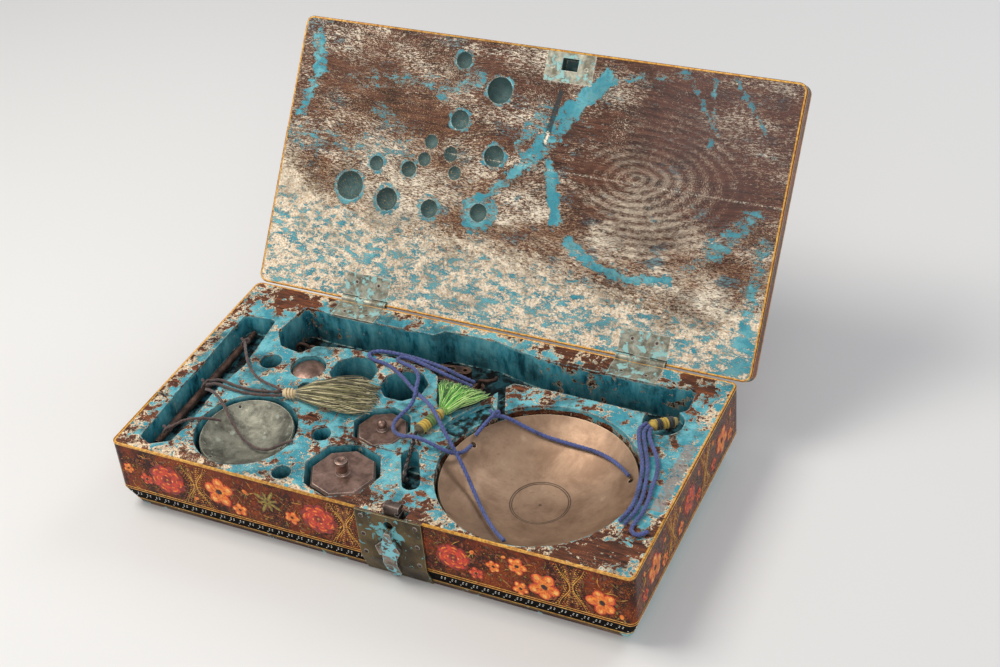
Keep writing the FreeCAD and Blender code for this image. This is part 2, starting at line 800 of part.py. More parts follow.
def tube(points, radius, widest=0.45, closed_ends=True):
    """A round tube along straight runs joined by tangent arcs, and its least bend radius."""
    points = [Vector(*p) for p in points]
    edges, radii, start = [], [], points[0]
    for i in range(1, len(points) - 1):
        before, after = points[i - 1] - points[i], points[i + 1] - points[i]
        reach = widest * min(before.Length, after.Length)
        half = before.getAngle(after) / 2
        radii.append(reach * math.tan(half))
        before.normalize()
        after.normalize()
        a, b = points[i] + before * reach, points[i] + after * reach
        inward = (before + after).normalize()
        middle = points[i] + inward * (reach / math.cos(half) - reach * math.tan(half))
        edges.append(Part.LineSegment(start, a).toShape())
        edges.append(Part.Arc(a, middle, b).toShape())
        start = b
    edges.append(Part.LineSegment(start, points[-1]).toShape())
    path = Part.Wire(edges)
    ring = Part.Wire(Part.makeCircle(radius, points[0], points[1] - points[0]))
    shape = path.makePipeShell([ring], closed_ends, False)
    return shape, min(radii, default=0.0), path.Length


def spindle(length, radius, tip_radius):
    """A round rod along X, thickest in the middle."""
    half = length / 2
    profile = ((-half, 0), (-half, tip_radius), (-half * 0.5, (radius + tip_radius) * 0.52), (0, radius),
               (half * 0.5, (radius + tip_radius) * 0.52), (half, tip_radius), (half, 0))
    rod = Part.Face(polygon([Vector(x, y, 0) for x, y in profile])).revolve(Vector(), Vector(1, 0, 0), 360)
    rod.rotate(Vector(), Vector(1, 0, 0), 40)
    return rod


def make_large_beam():
    """The beam lies on its side in the trough, so its pivot stands upright."""
    floor = trough_floor + seat_gap
    boss_low = floor + shears_strap + shears_gap
    centre = Vector((large_beam_left_x + large_beam_right_x) / 2, large_beam_y, boss_low + beam_boss_half)
    left = Vector(large_beam_left_x, large_beam_y, centre.z)
    right = Vector(large_beam_right_x, large_beam_y, centre.z)
    eye_reach = beam_eye_radius + beam_eye_wall
    arms_length = right.x - left.x - 2 * beam_eye_radius - beam_eye_wall
    arms = spindle(arms_length, large_beam_radius, large_beam_tip_radius)
    arms.translate(centre)
    boss = Part.makeCylinder(beam_boss_radius, 2 * beam_boss_half, centre - Vector(0, 0, beam_boss_half))
    pointer = Part.makeCone(1.5, 0.5, beam_pointer_length + 1, centre + Vector(0, beam_boss_radius - 1, 0),
                            Vector(0, 1, 0))
    eyes = [
        Part.makeCylinder(eye_reach, beam_eye_thickness, end - Vector(0, 0, beam_eye_thickness / 2))
        for end in (left, right)
    ]
    holes = [Part.makeCylinder(beam_eye_radius, 8, end - Vector(0, 0, 4)) for end in (left, right)]
    holes.append(Part.makeCylinder(beam_pivot_radius + hinge_running_gap, 12, centre - Vector(0, 0, 6)))
    beam = arms.fuse([boss, pointer, *eyes]).removeSplitter().cut(holes)
    pivot_height = 2 * (beam_boss_half + shears_gap + shears_strap)
    pivot = Part.makeCylinder(beam_pivot_radius, pivot_height, centre - Vector(0, 0, pivot_height / 2))
    hooks = [
        tube([eye + Vector(*step) for step in route], beam_hook_wire)[0]
        for eye, route in ((left, beam_left_hook_route), (right, beam_right_hook_route))
    ]
    return {
        "large_beam": beam,
        "large_beam_pivot": pivot,
        "large_beam_shears": make_shears(centre),
        "large_beam_hooks": Part.makeCompound(hooks),
    }


# From the eye that each hook hangs in
beam_left_hook_route = (
    (0.8, 0.0, -2.6), (0.0, 0.0, 1.5), (-3.0, -0.8, 4.0), (-6.0, -1.2, 4.6), (-8.6, -1.6, 1.6),
    (-6.6, -1.2, -1.8),
)
beam_right_hook_route = (
    (-0.8, 0.0, -2.6), (0.0, 0.0, 1.6), (2.0, -1.0, 5.6), (3.0, -3.2, 8.8), (5.6, -5.0, 10.6),
    (9.6, -4.2, 10.8), (11.8, -0.8, 9.6), (10.4, 2.6, 8.0),
)


def make_shears(centre):
    """The fork that the beam hangs in: two pierced cheeks over the boss, joined past their far end."""
    half = beam_boss_half + shears_gap
    outline = bar((0, 0), (shears_length, 0), shears_width, -half - shears_strap, half + shears_strap)
    inside = block(-shears_width, shears_length - shears_bridge, -shears_width, shears_width, -half, half)
    window = bar((11, 0), (shears_length - shears_bridge - 3, 0), shears_width - 2.8, -9, 9)
    hole = Part.makeCylinder(beam_pivot_radius + hinge_running_gap, 40, Vector(0, 0, -20))
    ring_hole = Part.makeCylinder(1.3, 40, Vector(shears_length - 0.5, 0, -20))
    shears = outline.cut([inside, window, hole, ring_hole])
    shears.rotate(Vector(), Vector(0, 0, 1), shears_fold_angle)
    shears.translate(centre)
    return shears


def make_small_beam():
    rod = spindle(small_beam_length, small_beam_radius, small_beam_tip_radius)
    reach = small_beam_length / 2 - 4
    holes = [Part.makeCylinder(small_beam_hole, 12, Vector(x, 0, -6)) for x in (-reach, 0, reach)]
    rod = rod.cut(holes)
    rod.rotate(Vector(), Vector(0, 0, 1), 90)
    rod.translate(Vector(small_beam_x, small_beam_y, side_floor + seat_gap + small_beam_radius))
    return {"small_beam": rod}


# Cords, tassels and bindings. A cord's points are its route, chosen from the way it lies, with heights over
# the tray's top.
cord_routes = {
    "blue_cord_front": (
        (14.0, 36.0, -3.4), (7.0, 35.0, -0.8), (-3.0, 36.4, 1.6), (-19.0, 39.0, 1.8), (-36.0, 40.0, 1.6),
        (-47.2, 38.8, 1.6), (-51.4, 34.2, 1.6), (-46.6, 30.4, 1.6), (-36.0, 29.6, 1.6), (-25.0, 23.5, 1.6),
        (-12.5, 14.0, 1.8), (-3.0, 6.2, 4.8), (5.5, -1.2, 8.8), (14.5, -9.8, 9.2), (22.0, -17.4, 7.4),
        (28.5, -22.6, 3.8), (35.0, -26.6, -2.0), (41.5, -31.6, -8.2), (49.0, -38.8, -12.6),
        (58.0, -48.4, -14.0), (67.5, -58.0, -11.8), (74.6, -65.2, -8.2), (78.8, -69.4, -5.4),
    ),
    "blue_cord_left": (
        (14.0, 32.6, -3.6), (6.0, 31.6, -0.6), (-4.0, 32.4, 1.6), (-15.0, 35.0, 2.2), (-25.0, 36.4, 3.2),
        (-30.6, 34.6, 4.4), (-30.4, 30.4, 5.2), (-25.4, 28.4, 5.8), (-17.6, 26.2, 6.4), (-11.0, 19.8, 7.0),
        (-8.4, 11.0, 7.0), (-6.0, 2.2, 3.6), (-8.6, -6.0, 1.6), (-10.4, -13.0, 1.0), (-7.6, -20.0, 1.2),
        (-0.5, -24.4, 2.8), (8.6, -25.8, 6.6), (17.6, -26.0, 4.8), (25.4, -26.4, 2.4), (30.8, -23.4, -1.4),
        (33.6, -17.2, -3.8), (33.4, -10.6, -5.2),
    ),
    "blue_cord_right": (
        (39.8, 11.8, -0.4), (45.6, 13.4, -2.8), (54.5, 14.2, -7.1), (65.0, 14.0, -10.0), (79.5, 14.0, -11.1),
        (95.0, 12.0, -9.9), (107.4, 5.8, -7.8), (115.6, -1.2, -6.0), (119.6, -5.2, -4.8),
    ),
    "blue_cord_rim": (
        (36.0, 8.3, -1.0), (35.2, 5.0, -1.4), (33.9, 0.2, -2.6), (33.2, -4.2, -3.4),
    ),
    "blue_bundle_inner": (
        (116.5, 29.5, 1.3), (114.6, 25.6, 1.8), (115.2, 20.6, 1.8), (119.0, 12.0, 1.5), (123.4, 4.0, 1.5),
        (127.0, -4.6, 1.5), (129.4, -14.6, 1.5), (131.6, -25.0, 1.5), (131.9, -35.0, 1.3), (129.6, -43.6, 0.9),
    ),
    "blue_bundle_middle": (
        (118.4, 27.9, 1.3), (117.3, 24.0, 1.8), (118.6, 19.0, 1.8), (122.4, 11.6, 1.5), (126.4, 3.6, 1.5),
        (130.0, -4.8, 1.5), (132.4, -14.4, 1.5), (134.6, -25.0, 1.5), (135.0, -35.6, 1.3), (132.6, -44.8, 0.9),
    ),
    "blue_bundle_outer": (
        (120.3, 26.3, 1.3), (120.4, 22.2, 1.8), (123.0, 17.0, 1.8), (128.4, 9.6, 1.5), (133.0, 1.6, 1.5),
        (135.4, -6.4, 1.5), (136.0, -14.6, 1.5), (137.8, -24.6, 1.5), (138.6, -34.4, 1.3), (137.0, -42.0, 0.9),
        (136.8, -48.2, 0.9), (142.2, -50.6, 0.9), (145.2, -45.6, 0.9),
    ),
    "brown_cord_pair_front": (
        (-133.0, -13.2, -6.1), (-127.0, -14.8, -2.8), (-119.6, -16.8, 1.5), (-110.0, -18.6, 1.3),
        (-100.0, -19.0, 1.3), (-90.0, -17.6, 1.5), (-83.8, -16.5, 2.1), (-78.6, -15.7, 2.7),
    ),
    "brown_cord_pair_back": (
        (-133.0, -9.6, -6.1), (-127.0, -11.2, -2.8), (-119.6, -13.2, 1.5), (-110.0, -15.0, 1.3),
        (-100.0, -15.6, 1.3), (-90.0, -14.4, 1.5), (-84.4, -13.4, 2.1), (-79.2, -12.8, 2.7),
    ),
    "brown_cord_elbow": (
        (-131.6, 30.0, -5.6), (-125.4, 21.8, -2.2), (-118.6, 12.4, 1.6), (-111.5, 3.4, 1.3),
        (-102.0, -4.6, 1.5), (-92.0, -9.0, 2.8), (-85.2, -12.0, 5.0), (-79.2, -14.3, 5.5),
    ),
    "brown_cord_pan": (
        (-127.6, -17.8, -4.2), (-121.4, -21.8, 0.2), (-114.4, -25.8, 1.8), (-107.2, -30.6, 1.0),
        (-100.0, -36.6, -2.4), (-91.2, -42.8, -7.0), (-80.5, -48.0, -8.2), (-70.6, -50.6, -6.0),
        (-63.6, -50.4, -2.4), (-58.0, -48.6, 1.2), (-54.6, -45.0, 0.9),
    ),
    "brown_cord_stray": (
        (-132.0, -53.8, -6.3), (-126.8, -52.2, -3.2), (-121.0, -50.0, 0.6), (-115.0, -47.2, 1.4),
        (-108.4, -44.0, 0.8), (-102.2, -41.2, -1.4),
    ),
}
hook_route = (
    (6.4, -19.8, 3.6), (7.4, -24.4, 3.0), (9.4, -31.6, 2.0), (12.0, -41.0, 1.8), (14.0, -48.6, 1.8),
    (15.4, -52.4, -0.4), (15.4, -50.2, -3.6), (14.4, -46.8, -4.2),
)


def make_cords():
    shapes = {}
    for name, points in cord_routes.items():
        diameter = blue_diameter if name.startswith("blue") else brown_diameter
        shape, least, length = tube([(x, y, box_height + z) for x, y, z in points], diameter / 2)
        section = math.pi * (diameter / 2) ** 2 * length
        print(f"{name}: length {length:.1f}, least radius {least:.1f}, volume off by "
              f"{100 * (shape.Volume / section - 1):.2f} percent")
        shapes[name] = shape
    return shapes


# Flat oval sections of each tassel: centre x, y, half width, half height
olive_sections = (
    (-70.4, -12.0, 3.2, 3.0), (-62.0, -9.8, 9.0, 4.4), (-50.0, -6.6, 13.0, 4.6), (-38.0, -3.4, 13.6, 3.8),
    (-29.0, -1.0, 11.0, 2.4),
)
green_sections = (
    (12.4, 1.6, 3.2, 3.0), (13.2, 8.6, 7.4, 4.0), (14.2, 17.0, 12.6, 3.8), (15.0, 24.0, 14.8, 2.2),
)
olive_angle = 15.0
green_angle = 84.0


def fringe(sections, angle, base):
    """A closed tuft through flat oval sections that lie at one height and face one way."""
    wires = []
    for x, y, half, rise in sections:
        ellipse = Part.Ellipse(Vector(), half, rise) if half >= rise else Part.Ellipse(Vector(), rise, half)
        edge = ellipse.toShape()
        wire = Part.Wire(edge)
        if half < rise:
            wire.rotate(Vector(), Vector(0, 0, 1), 90)
        wire.rotate(Vector(), Vector(1, 0, 0), 90)
        wire.rotate(Vector(), Vector(0, 0, 1), angle - 90)
        wire.translate(Vector(x, y, base + rise))
        wires.append(wire)
    return Part.makeLoft(wires, True, False)


def arc_between(start, corner, end):
    """The arc that is tangent to both legs of a corner with legs of one length."""
    to_start, to_end = start - corner, end - corner
    leg = to_start.Length
    half = to_start.getAngle(to_end) / 2
    inward = (to_start + to_end).normalize()
    return Part.Arc(start, corner + inward * (leg / math.cos(half) - leg * math.tan(half)), end).toShape()


def biarc(p0, t0, p1, t1):
    """Two arcs that join two points with the given directions."""
    span, both = p1 - p0, t0 + t1
    a, b, c = 2 * (t0.dot(t1) - 1), -2 * span.dot(both), span.dot(span)
    leg = (-b - math.sqrt(b * b - 4 * a * c)) / (2 * a)
    if leg < 0:
        leg = (-b + math.sqrt(b * b - 4 * a * c)) / (2 * a)
    q0, q1 = p0 + t0 * leg, p1 - t1 * leg
    join = (q0 + q1) * 0.5
    return [arc_between(p0, q0, join), arc_between(join, q1, p1)]


def winding(name, start, along, length, outer_radius, turns):
    """A bound neck: a plain core and one thread wound round it, whose ends run straight."""
    axis = Vector(along).normalize()
    side = axis.cross(Vector(0, 0, 1)).normalize()
    up = side.cross(axis)
    core_radius = outer_radius - binding_thread - thread_gap
    radius = outer_radius - binding_thread / 2
    pitch = (length - 2 * binding_thread) / turns
    origin = start + axis * binding_thread

    def at(turn):
        a = 2 * math.pi * turn
        point = origin + axis * (pitch * turn) + side * (radius * math.cos(a)) + up * (radius * math.sin(a))
        heading = axis * pitch + (up * math.cos(a) - side * math.sin(a)) * (2 * math.pi * radius)
        return point, heading.normalize()

    stations = [at(i / 4) for i in range(4 * turns + 1)]
    (first, first_way), (last, last_way) = stations[0], stations[-1]
    edges = [Part.LineSegment(first - first_way * binding_thread, first).toShape()]
    for (p0, t0), (p1, t1) in zip(stations, stations[1:]):
        edges += biarc(p0, t0, p1, t1)
    edges.append(Part.LineSegment(last, last + last_way * binding_thread).toShape())
    ring = Part.Wire(Part.makeCircle(binding_thread / 2, first - first_way * binding_thread, first_way))
    thread = Part.Wire(edges).makePipeShell([ring], True, False)
    steps = 48
    points = [at(i / steps)[0] for i in range(steps * turns + 1)]
    apart = min(
        points[i].distanceToPoint(points[j])
        for i in range(0, len(points), 4) for j in range(i + steps // 2, min(len(points), i + steps * 3 // 2))
    )
    print(f"{name}: {turns} turns, least gap to itself {apart - binding_thread:.2f}")
    return Part.makeCylinder(core_radius, length, start, axis), thread


def make_tassels():
    rest = box_height + seat_gap
    olive = fringe(olive_sections, olive_angle, rest)
    green = fringe(green_sections, green_angle, rest)
    olive_core, olive_turns = winding(
        "olive_tassel_winding", Vector(-78.0, -14.1, rest + olive_binding_radius), Vector(7.0, 1.9, 0),
        olive_binding_length, olive_binding_radius, olive_binding_turns)
    green_core, green_turns = winding(
        "green_tassel_winding", Vector(6.6, -18.6, rest + binding_radius), Vector(5.6, 19.4, 0),
        binding_length, binding_radius, binding_turns)
    bead_core, bead_thread = winding(
        "bundle_winding", Vector(bead_end_x, bead_end_y, box_height + bead_end_rise),
        Vector(bead_run_x, bead_run_y, -bead_dip),
        bead_length, bead_radius, bead_turns)
    knot_z = box_height - ring_dip_depth + seat_gap + knot_radius
    knot = Part.makeSphere(knot_radius, Vector(knot_x, knot_y, knot_z))
    hook = tube([(x, y, box_height + z) for x, y, z in hook_route], hook_wire)[0]
    return {
        "olive_tassel_fringe": olive,
        "olive_tassel_binding": olive_core,
        "olive_tassel_winding": olive_turns,
        "green_tassel_fringe": green,
        "green_tassel_binding": green_core,
        "green_tassel_winding": green_turns,
        "bundle_binding": bead_core,
        "bundle_winding": bead_thread,
        "tassel_hook": hook,
        "blue_cord_knot": knot,
    }


def build():
    parts = {}
    for make in (make_case, make_lid, make_hinges, make_lock, make_pans, make_weights, make_large_beam,
                 make_small_beam, make_tassels, make_cords):
        parts.update(make())
    return parts


os.makedirs("parts", exist_ok=True)
for node, shape in build().items():
    shape.exportStep(f"parts/{node}.step")
    print(f"{node}: {len(shape.Solids)} solid(s), volume {shape.Volume:.0f}, valid {shape.isValid()}")
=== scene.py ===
"""The looks of a merchant's scale box.

A lacquered wooden case stands open. Its carved tray is painted turquoise and holds two hand
balances with their pans, cords and tassels, and three weights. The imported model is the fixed
frame, and every piece here rides on one of its bodies.
"""

from __future__ import annotations

import logging
import math
import random
from collections.abc import Callable, Iterable, Sequence
from dataclasses import dataclass, field
from enum import Enum

import bmesh
import bpy
from mathutils import Matrix, Vector

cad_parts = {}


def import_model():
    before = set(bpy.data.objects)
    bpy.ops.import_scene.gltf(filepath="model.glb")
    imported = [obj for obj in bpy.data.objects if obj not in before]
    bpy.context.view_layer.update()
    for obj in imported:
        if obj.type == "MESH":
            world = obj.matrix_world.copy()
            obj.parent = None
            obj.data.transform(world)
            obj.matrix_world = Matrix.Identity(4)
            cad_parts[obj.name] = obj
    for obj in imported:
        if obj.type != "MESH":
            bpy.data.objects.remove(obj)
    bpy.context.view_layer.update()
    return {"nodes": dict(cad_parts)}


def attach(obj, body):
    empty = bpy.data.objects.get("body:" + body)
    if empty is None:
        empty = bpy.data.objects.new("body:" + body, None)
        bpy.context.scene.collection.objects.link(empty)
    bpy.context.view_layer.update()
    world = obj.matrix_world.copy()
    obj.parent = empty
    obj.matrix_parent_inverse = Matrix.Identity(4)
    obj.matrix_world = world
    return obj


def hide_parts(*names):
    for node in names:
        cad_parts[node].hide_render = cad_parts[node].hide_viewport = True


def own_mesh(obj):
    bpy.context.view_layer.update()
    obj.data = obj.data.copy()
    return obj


log = logging.getLogger("scale_box")

MM = 0.001
UP = Vector((0.0, 0.0, 1.0))

# The case and the lid, in millimetres, as the CAD source has them
HALF_WIDTH = 150.0
HALF_DEPTH = 78.0
CASE_TOP = 46.0
PLINTH_TOP = 13.5
PLINTH_INSET = 5.0
CASE_CORNER = 4.0
HINGE_Y = 79.0
HINGE_Z = 46.25
LID_ANGLE = math.radians(127.0)
LID_UNDER = 46.5
LID_TOP = 58.5
LID_LEFT = -150.0
LID_RIGHT = 156.0
LID_LENGTH = 161.5
LOCK_LEFT = 0.2
LOCK_RIGHT = 38.3

Value = object
Colour = tuple[float, float, float]
Point = tuple[float, float, float]


def srgb(red: int, green: int, blue: int) -> Colour:
    """The linear colour of an sRGB one given from 0 to 255."""
    shares = (c / 255 for c in (red, green, blue))
    return tuple(c / 12.92 if c <= 0.04045 else ((c + 0.055) / 1.055) ** 2.4 for c in shares)


def lid_opening() -> Matrix:
    """The turn from the closed lid to the open one, about the hinge pins."""
    hinge = Vector((0.0, HINGE_Y, HINGE_Z))
    return Matrix.Translation(hinge) @ Matrix.Rotation(-LID_ANGLE, 4, "X") @ Matrix.Translation(-hinge)


class Graph:
    """A short way to wire one material's nodes. Places are in millimetres."""

    def __init__(self, name: str) -> None:
        """Starts an empty material.

        Args:
            name: The material's name.
        """
        self.material = bpy.data.materials.new(name)
        self.material.use_nodes = True
        self.nodes = self.material.node_tree.nodes
        self.links = self.material.node_tree.links
        self.nodes.clear()

    def node(self, kind: str, inputs: dict | None = None, **settings: Value) -> bpy.types.Node:
        """Adds a node.

        Args:
            kind: The node's type without its ShaderNode prefix.
            inputs: Sockets or plain values, by input name or number.
            **settings: The node's own settings.

        Returns:
            The new node.
        """
        made = self.nodes.new("ShaderNode" + kind)
        for key, value in settings.items():
            setattr(made, key, value)
        for key, value in (inputs or {}).items():
            socket = made.inputs[key]
            if isinstance(value, bpy.types.NodeSocket):
                self.links.new(value, socket)
            elif socket.type == "RGBA":
                socket.default_value = (*value[:3], 1.0)
            else:
                socket.default_value = value
        return made

    def place(self) -> bpy.types.NodeSocket:
        """The object coordinates in millimetres."""
        found = self.node("TexCoord").outputs["Object"]
        return self.node("VectorMath", {0: found, "Scale": 1 / MM}, operation="SCALE").outputs[0]

    def facing(self) -> tuple:
        """The parts of the surface's normal in the object's own axes."""
        return self.split(self.node("TexCoord").outputs["Normal"])

    def split(self, vector: Value) -> tuple:
        """The X, Y and Z sockets of a vector."""
        return tuple(self.node("SeparateXYZ", {0: vector}).outputs)

    def join(self, x: Value, y: Value, z: Value) -> Value:
        """A vector of three values."""
        return self.node("CombineXYZ", {0: x, 1: y, 2: z}).outputs[0]

    def turned(self, vector: Value, place: Point = (0, 0, 0), turn: Point = (0, 0, 0), size: Point = (1, 1, 1)) -> Value:
        """A vector that is scaled, turned and then moved."""
        inputs = {"Vector": vector, "Location": place, "Rotation": turn, "Scale": size}
        return self.node("Mapping", inputs).outputs[0]

    def math(self, operation: str, a: Value, b: Value = 0.0, c: Value = 0.0) -> Value:
        """One sum or comparison of up to three values."""
        return self.node("Math", {0: a, 1: b, 2: c}, operation=operation).outputs[0]

    def add(self, *values: Value) -> Value:
        """The sum of several values."""
        total = values[0]
        for value in values[1:]:
            total = self.math("ADD", total, value)
        return total

    def times(self, a: Value, b: Value) -> Value:
        """The product of two values."""
        return self.math("MULTIPLY", a, b)

    def largest(self, *values: Value) -> Value:
        """The largest of several values."""
        total = values[0]
        for value in values[1:]:
            total = self.math("MAXIMUM", total, value)
        return total

    def inverse(self, value: Value) -> Value:
        """One less the value."""
        return self.math("SUBTRACT", 1.0, value)

    def step(self, value: Value, low: float, high: float) -> Value:
        """A soft step from 0 at low to 1 at high; it falls where high is under low."""
        ends = (low, high, 0.0, 1.0) if high > low else (high, low, 1.0, 0.0)
        inputs = {"Value": value, "From Min": ends[0], "From Max": ends[1], "To Min": ends[2], "To Max": ends[3]}
        return self.node("MapRange", inputs, interpolation_type="SMOOTHSTEP").outputs[0]

    def band(self, value: Value, middle: float, half: float, soft: float) -> Value:
        """1 within half of the middle and 0 past it, with a soft edge."""
        away = self.math("ABSOLUTE", self.math("SUBTRACT", value, middle))
        return self.step(away, half + soft, half)

    def near(self, x: Value, y: Value, place: tuple[float, float], radius: float, soft: float) -> Value:
        """1 within a circle and 0 past its soft edge."""
        return self.step(self.distance(x, y, place), radius + soft, radius)

    def distance(self, x: Value, y: Value, place: tuple[float, float]) -> Value:
        """How far a point of a plane is from a place."""
        offset = self.join(self.math("SUBTRACT", x, place[0]), self.math("SUBTRACT", y, place[1]), 0.0)
        return self.node("VectorMath", {0: offset}, operation="LENGTH").outputs[1]

    def segment(self, x: Value, y: Value, a: tuple[float, float], b: tuple[float, float]) -> Value:
        """How far a point of a plane is from the line between two places."""
        dx, dy = b[0] - a[0], b[1] - a[1]
        offset = self.join(self.math("SUBTRACT", x, a[0]), self.math("SUBTRACT", y, a[1]), 0.0)
        way = (dx / (dx * dx + dy * dy), dy / (dx * dx + dy * dy), 0.0)
        share = self.node("VectorMath", {0: offset, 1: way}, operation="DOT_PRODUCT").outputs[1]
        share = self.node("Clamp", {0: share}).outputs[0]
        foot = self.node("VectorMath", {0: (dx, dy, 0.0), "Scale": share}, operation="SCALE").outputs[0]
        return self.node("VectorMath", {0: offset, 1: foot}, operation="DISTANCE").outputs[1]

    def noise(self, vector: Value, scale: float, detail: float = 4.0, rough: float = 0.5, bend: float = 0.0) -> Value:
        """Cloudy noise; scale is in patches for each millimetre."""
        inputs = {"Vector": vector, "Scale": scale, "Detail": detail, "Roughness": rough, "Distortion": bend}
        return self.node("TexNoise", inputs).outputs[0]

    def cells(self, vector: Value, scale: float, feature: str = "F1") -> bpy.types.Node:
        """A cell pattern's node."""
        return self.node("TexVoronoi", {"Vector": vector, "Scale": scale}, feature=feature)

    def rings(self, vector: Value, scale: float, bend: float, detail: float = 2.0) -> Value:
        """Rings about the vector's own Z axis, as growth rings or turning marks are."""
        inputs = {"Vector": vector, "Scale": scale, "Distortion": bend, "Detail": detail, "Detail Scale": 1.2}
        return self.node("TexWave", inputs, wave_type="RINGS", rings_direction="Z").outputs[1]

    def blend(self, share: Value, low: Value, high: Value) -> Value:
        """A colour between two."""
        return self.node("Mix", {0: share, 6: low, 7: high}, data_type="RGBA").outputs[2]

    def darken(self, share: Value, colour: Value, by: Value) -> Value:
        """A colour multiplied by another."""
        return self.node("Mix", {0: share, 6: colour, 7: by}, data_type="RGBA", blend_type="MULTIPLY").outputs[2]

    def between(self, share: Value, low: Value, high: Value) -> Value:
        """A number between two."""
        return self.node("Mix", {0: share, 2: low, 3: high}, data_type="FLOAT").outputs[0]

    def ramp(self, value: Value, stops: Sequence[tuple[float, Colour]], steps: bool = False) -> Value:
        """A colour from a value.

        Args:
            value: The value from 0 to 1.
            stops: Places and their colours.
            steps: True for plain bands and False for soft changes.

        Returns:
            The colour's socket.
        """
        made = self.node("ValToRGB", {0: value})
        row = made.color_ramp
        row.interpolation = "CONSTANT" if steps else "LINEAR"
        while len(row.elements) < len(stops):
            row.elements.new(0.5)
        for element, (place, colour) in zip(row.elements, stops):
            element.position, element.color = place, (*colour, 1.0)
        return made.outputs[0]

    def worn_edge(self, radius: float, low: float, high: float) -> Value:
        """1 along the surface's sharp edges, from how a rounded normal leaves the plain one."""
        round_normal = self.node("Bevel", {"Radius": radius * MM}, samples=6).outputs[0]
        plain = self.node("NewGeometry").outputs["Normal"]
        along = self.node("VectorMath", {0: round_normal, 1: plain}, operation="DOT_PRODUCT").outputs[1]
        return self.step(along, high, low)

    def finish(
        self, colour: Value, rough: Value, height: Value | None = None, depth: float = 0.1, round_off: float = 0.0,
        **sockets: Value,
    ) -> bpy.types.Material:
        """Ends the material with its shader.

        Args:
            colour: The base colour.
            rough: The roughness.
            height: A height from 0 to 1 for the fine relief, or None.
            depth: The relief's depth in millimetres.
            round_off: The radius that edges are shaded round at, in millimetres.
            **sockets: More of the shader's inputs, with _ for a space.

        Returns:
            The material.
        """
        inputs = {"Base Color": colour, "Roughness": rough}
        inputs.update({key.replace("_", " "): value for key, value in sockets.items()})
        relief = {"Height": height, "Distance": depth * MM, "Strength": 1.0} if height is not None else None
        if round_off > 0:
            soft = self.node("Bevel", {"Radius": round_off * MM}, samples=4).outputs[0]
            inputs["Normal"] = soft
            if relief:
                relief["Normal"] = soft
        if relief:
            inputs["Normal"] = self.node("Bump", relief).outputs[0]
        shader = self.node("BsdfPrincipled", inputs)
        self.node("OutputMaterial", {0: shader.outputs[0]})
        return self.material


@dataclass(frozen=True)
class PaintColours:
    """The colours of the worn paint inside the box."""

    turquoise: Colour = srgb(60, 140, 154)
    pale: Colour = srgb(112, 180, 186)
    deep: Colour = srgb(24, 92, 106)
    gesso: Colour = srgb(236, 216, 184)
    tan: Colour = srgb(186, 150, 114)
    wood: Colour = srgb(82, 48, 33)
    dark_wood: Colour = srgb(30, 17, 12)
    red_wood: Colour = srgb(134, 72, 40)
    dirt: Colour = srgb(22, 17, 14)


@dataclass(frozen=True)
class LacquerColours:
    """The colours of the lacquered outside."""

    ground: Colour = srgb(46, 15, 9)
    lit: Colour = srgb(148, 58, 12)
    dust: Colour = srgb(206, 140, 48)
    band: Colour = srgb(8, 7, 7)
    worn: Colour = srgb(96, 76, 66)


def lacquer(g: Graph, p: Value, z: Value, shades: LacquerColours) -> tuple[Value, Value, Value]:
    """The lacquered ground of the outside.

    Args:
        g: The material's graph.
        p: The place in millimetres.
        z: The height; the plain dark band is under the plinth's top.
        shades: The colours.

    Returns:
        The colour, the roughness and the height.
    """
    cloud = g.noise(p, 0.06, 5, 0.6, 0.4)
    mottle = g.noise(p, 0.4, 6, 0.7, 0.6)
    colour = g.blend(g.times(g.step(cloud, 0.42, 0.68), 0.6), shades.ground, shades.lit)
    colour = g.blend(g.times(g.step(mottle, 0.48, 0.66), 0.8), colour, shades.lit)
    colour = g.blend(g.times(g.step(mottle, 0.42, 0.3), 0.6), colour, shades.band)
    dust = g.times(g.step(g.noise(p, 1.5, 3, 0.8), 0.57, 0.63), g.step(g.noise(p, 0.08, 2), 0.4, 0.56))
    colour = g.blend(g.times(dust, 0.75), colour, shades.dust)
    band = g.step(z, PLINTH_TOP + 0.15, PLINTH_TOP - 0.15)
    colour = g.blend(band, colour, shades.band)
    cracks = g.step(g.cells(p, 0.3, "DISTANCE_TO_EDGE").outputs["Distance"], 0.03, 0.0)
    colour = g.blend(g.times(cracks, 0.3), colour, shades.band)
    rubbed = g.times(g.step(g.noise(p, 0.16, 8, 0.7), 0.64, 0.7), g.between(band, 0.7, 0.35))
    colour = g.blend(rubbed, colour, shades.worn)
    rough = g.largest(g.between(rubbed, 0.26, 0.62), g.times(band, 0.6))
    height = g.add(g.times(mottle, 0.4), g.times(cracks, -0.5))
    return colour, rough, height


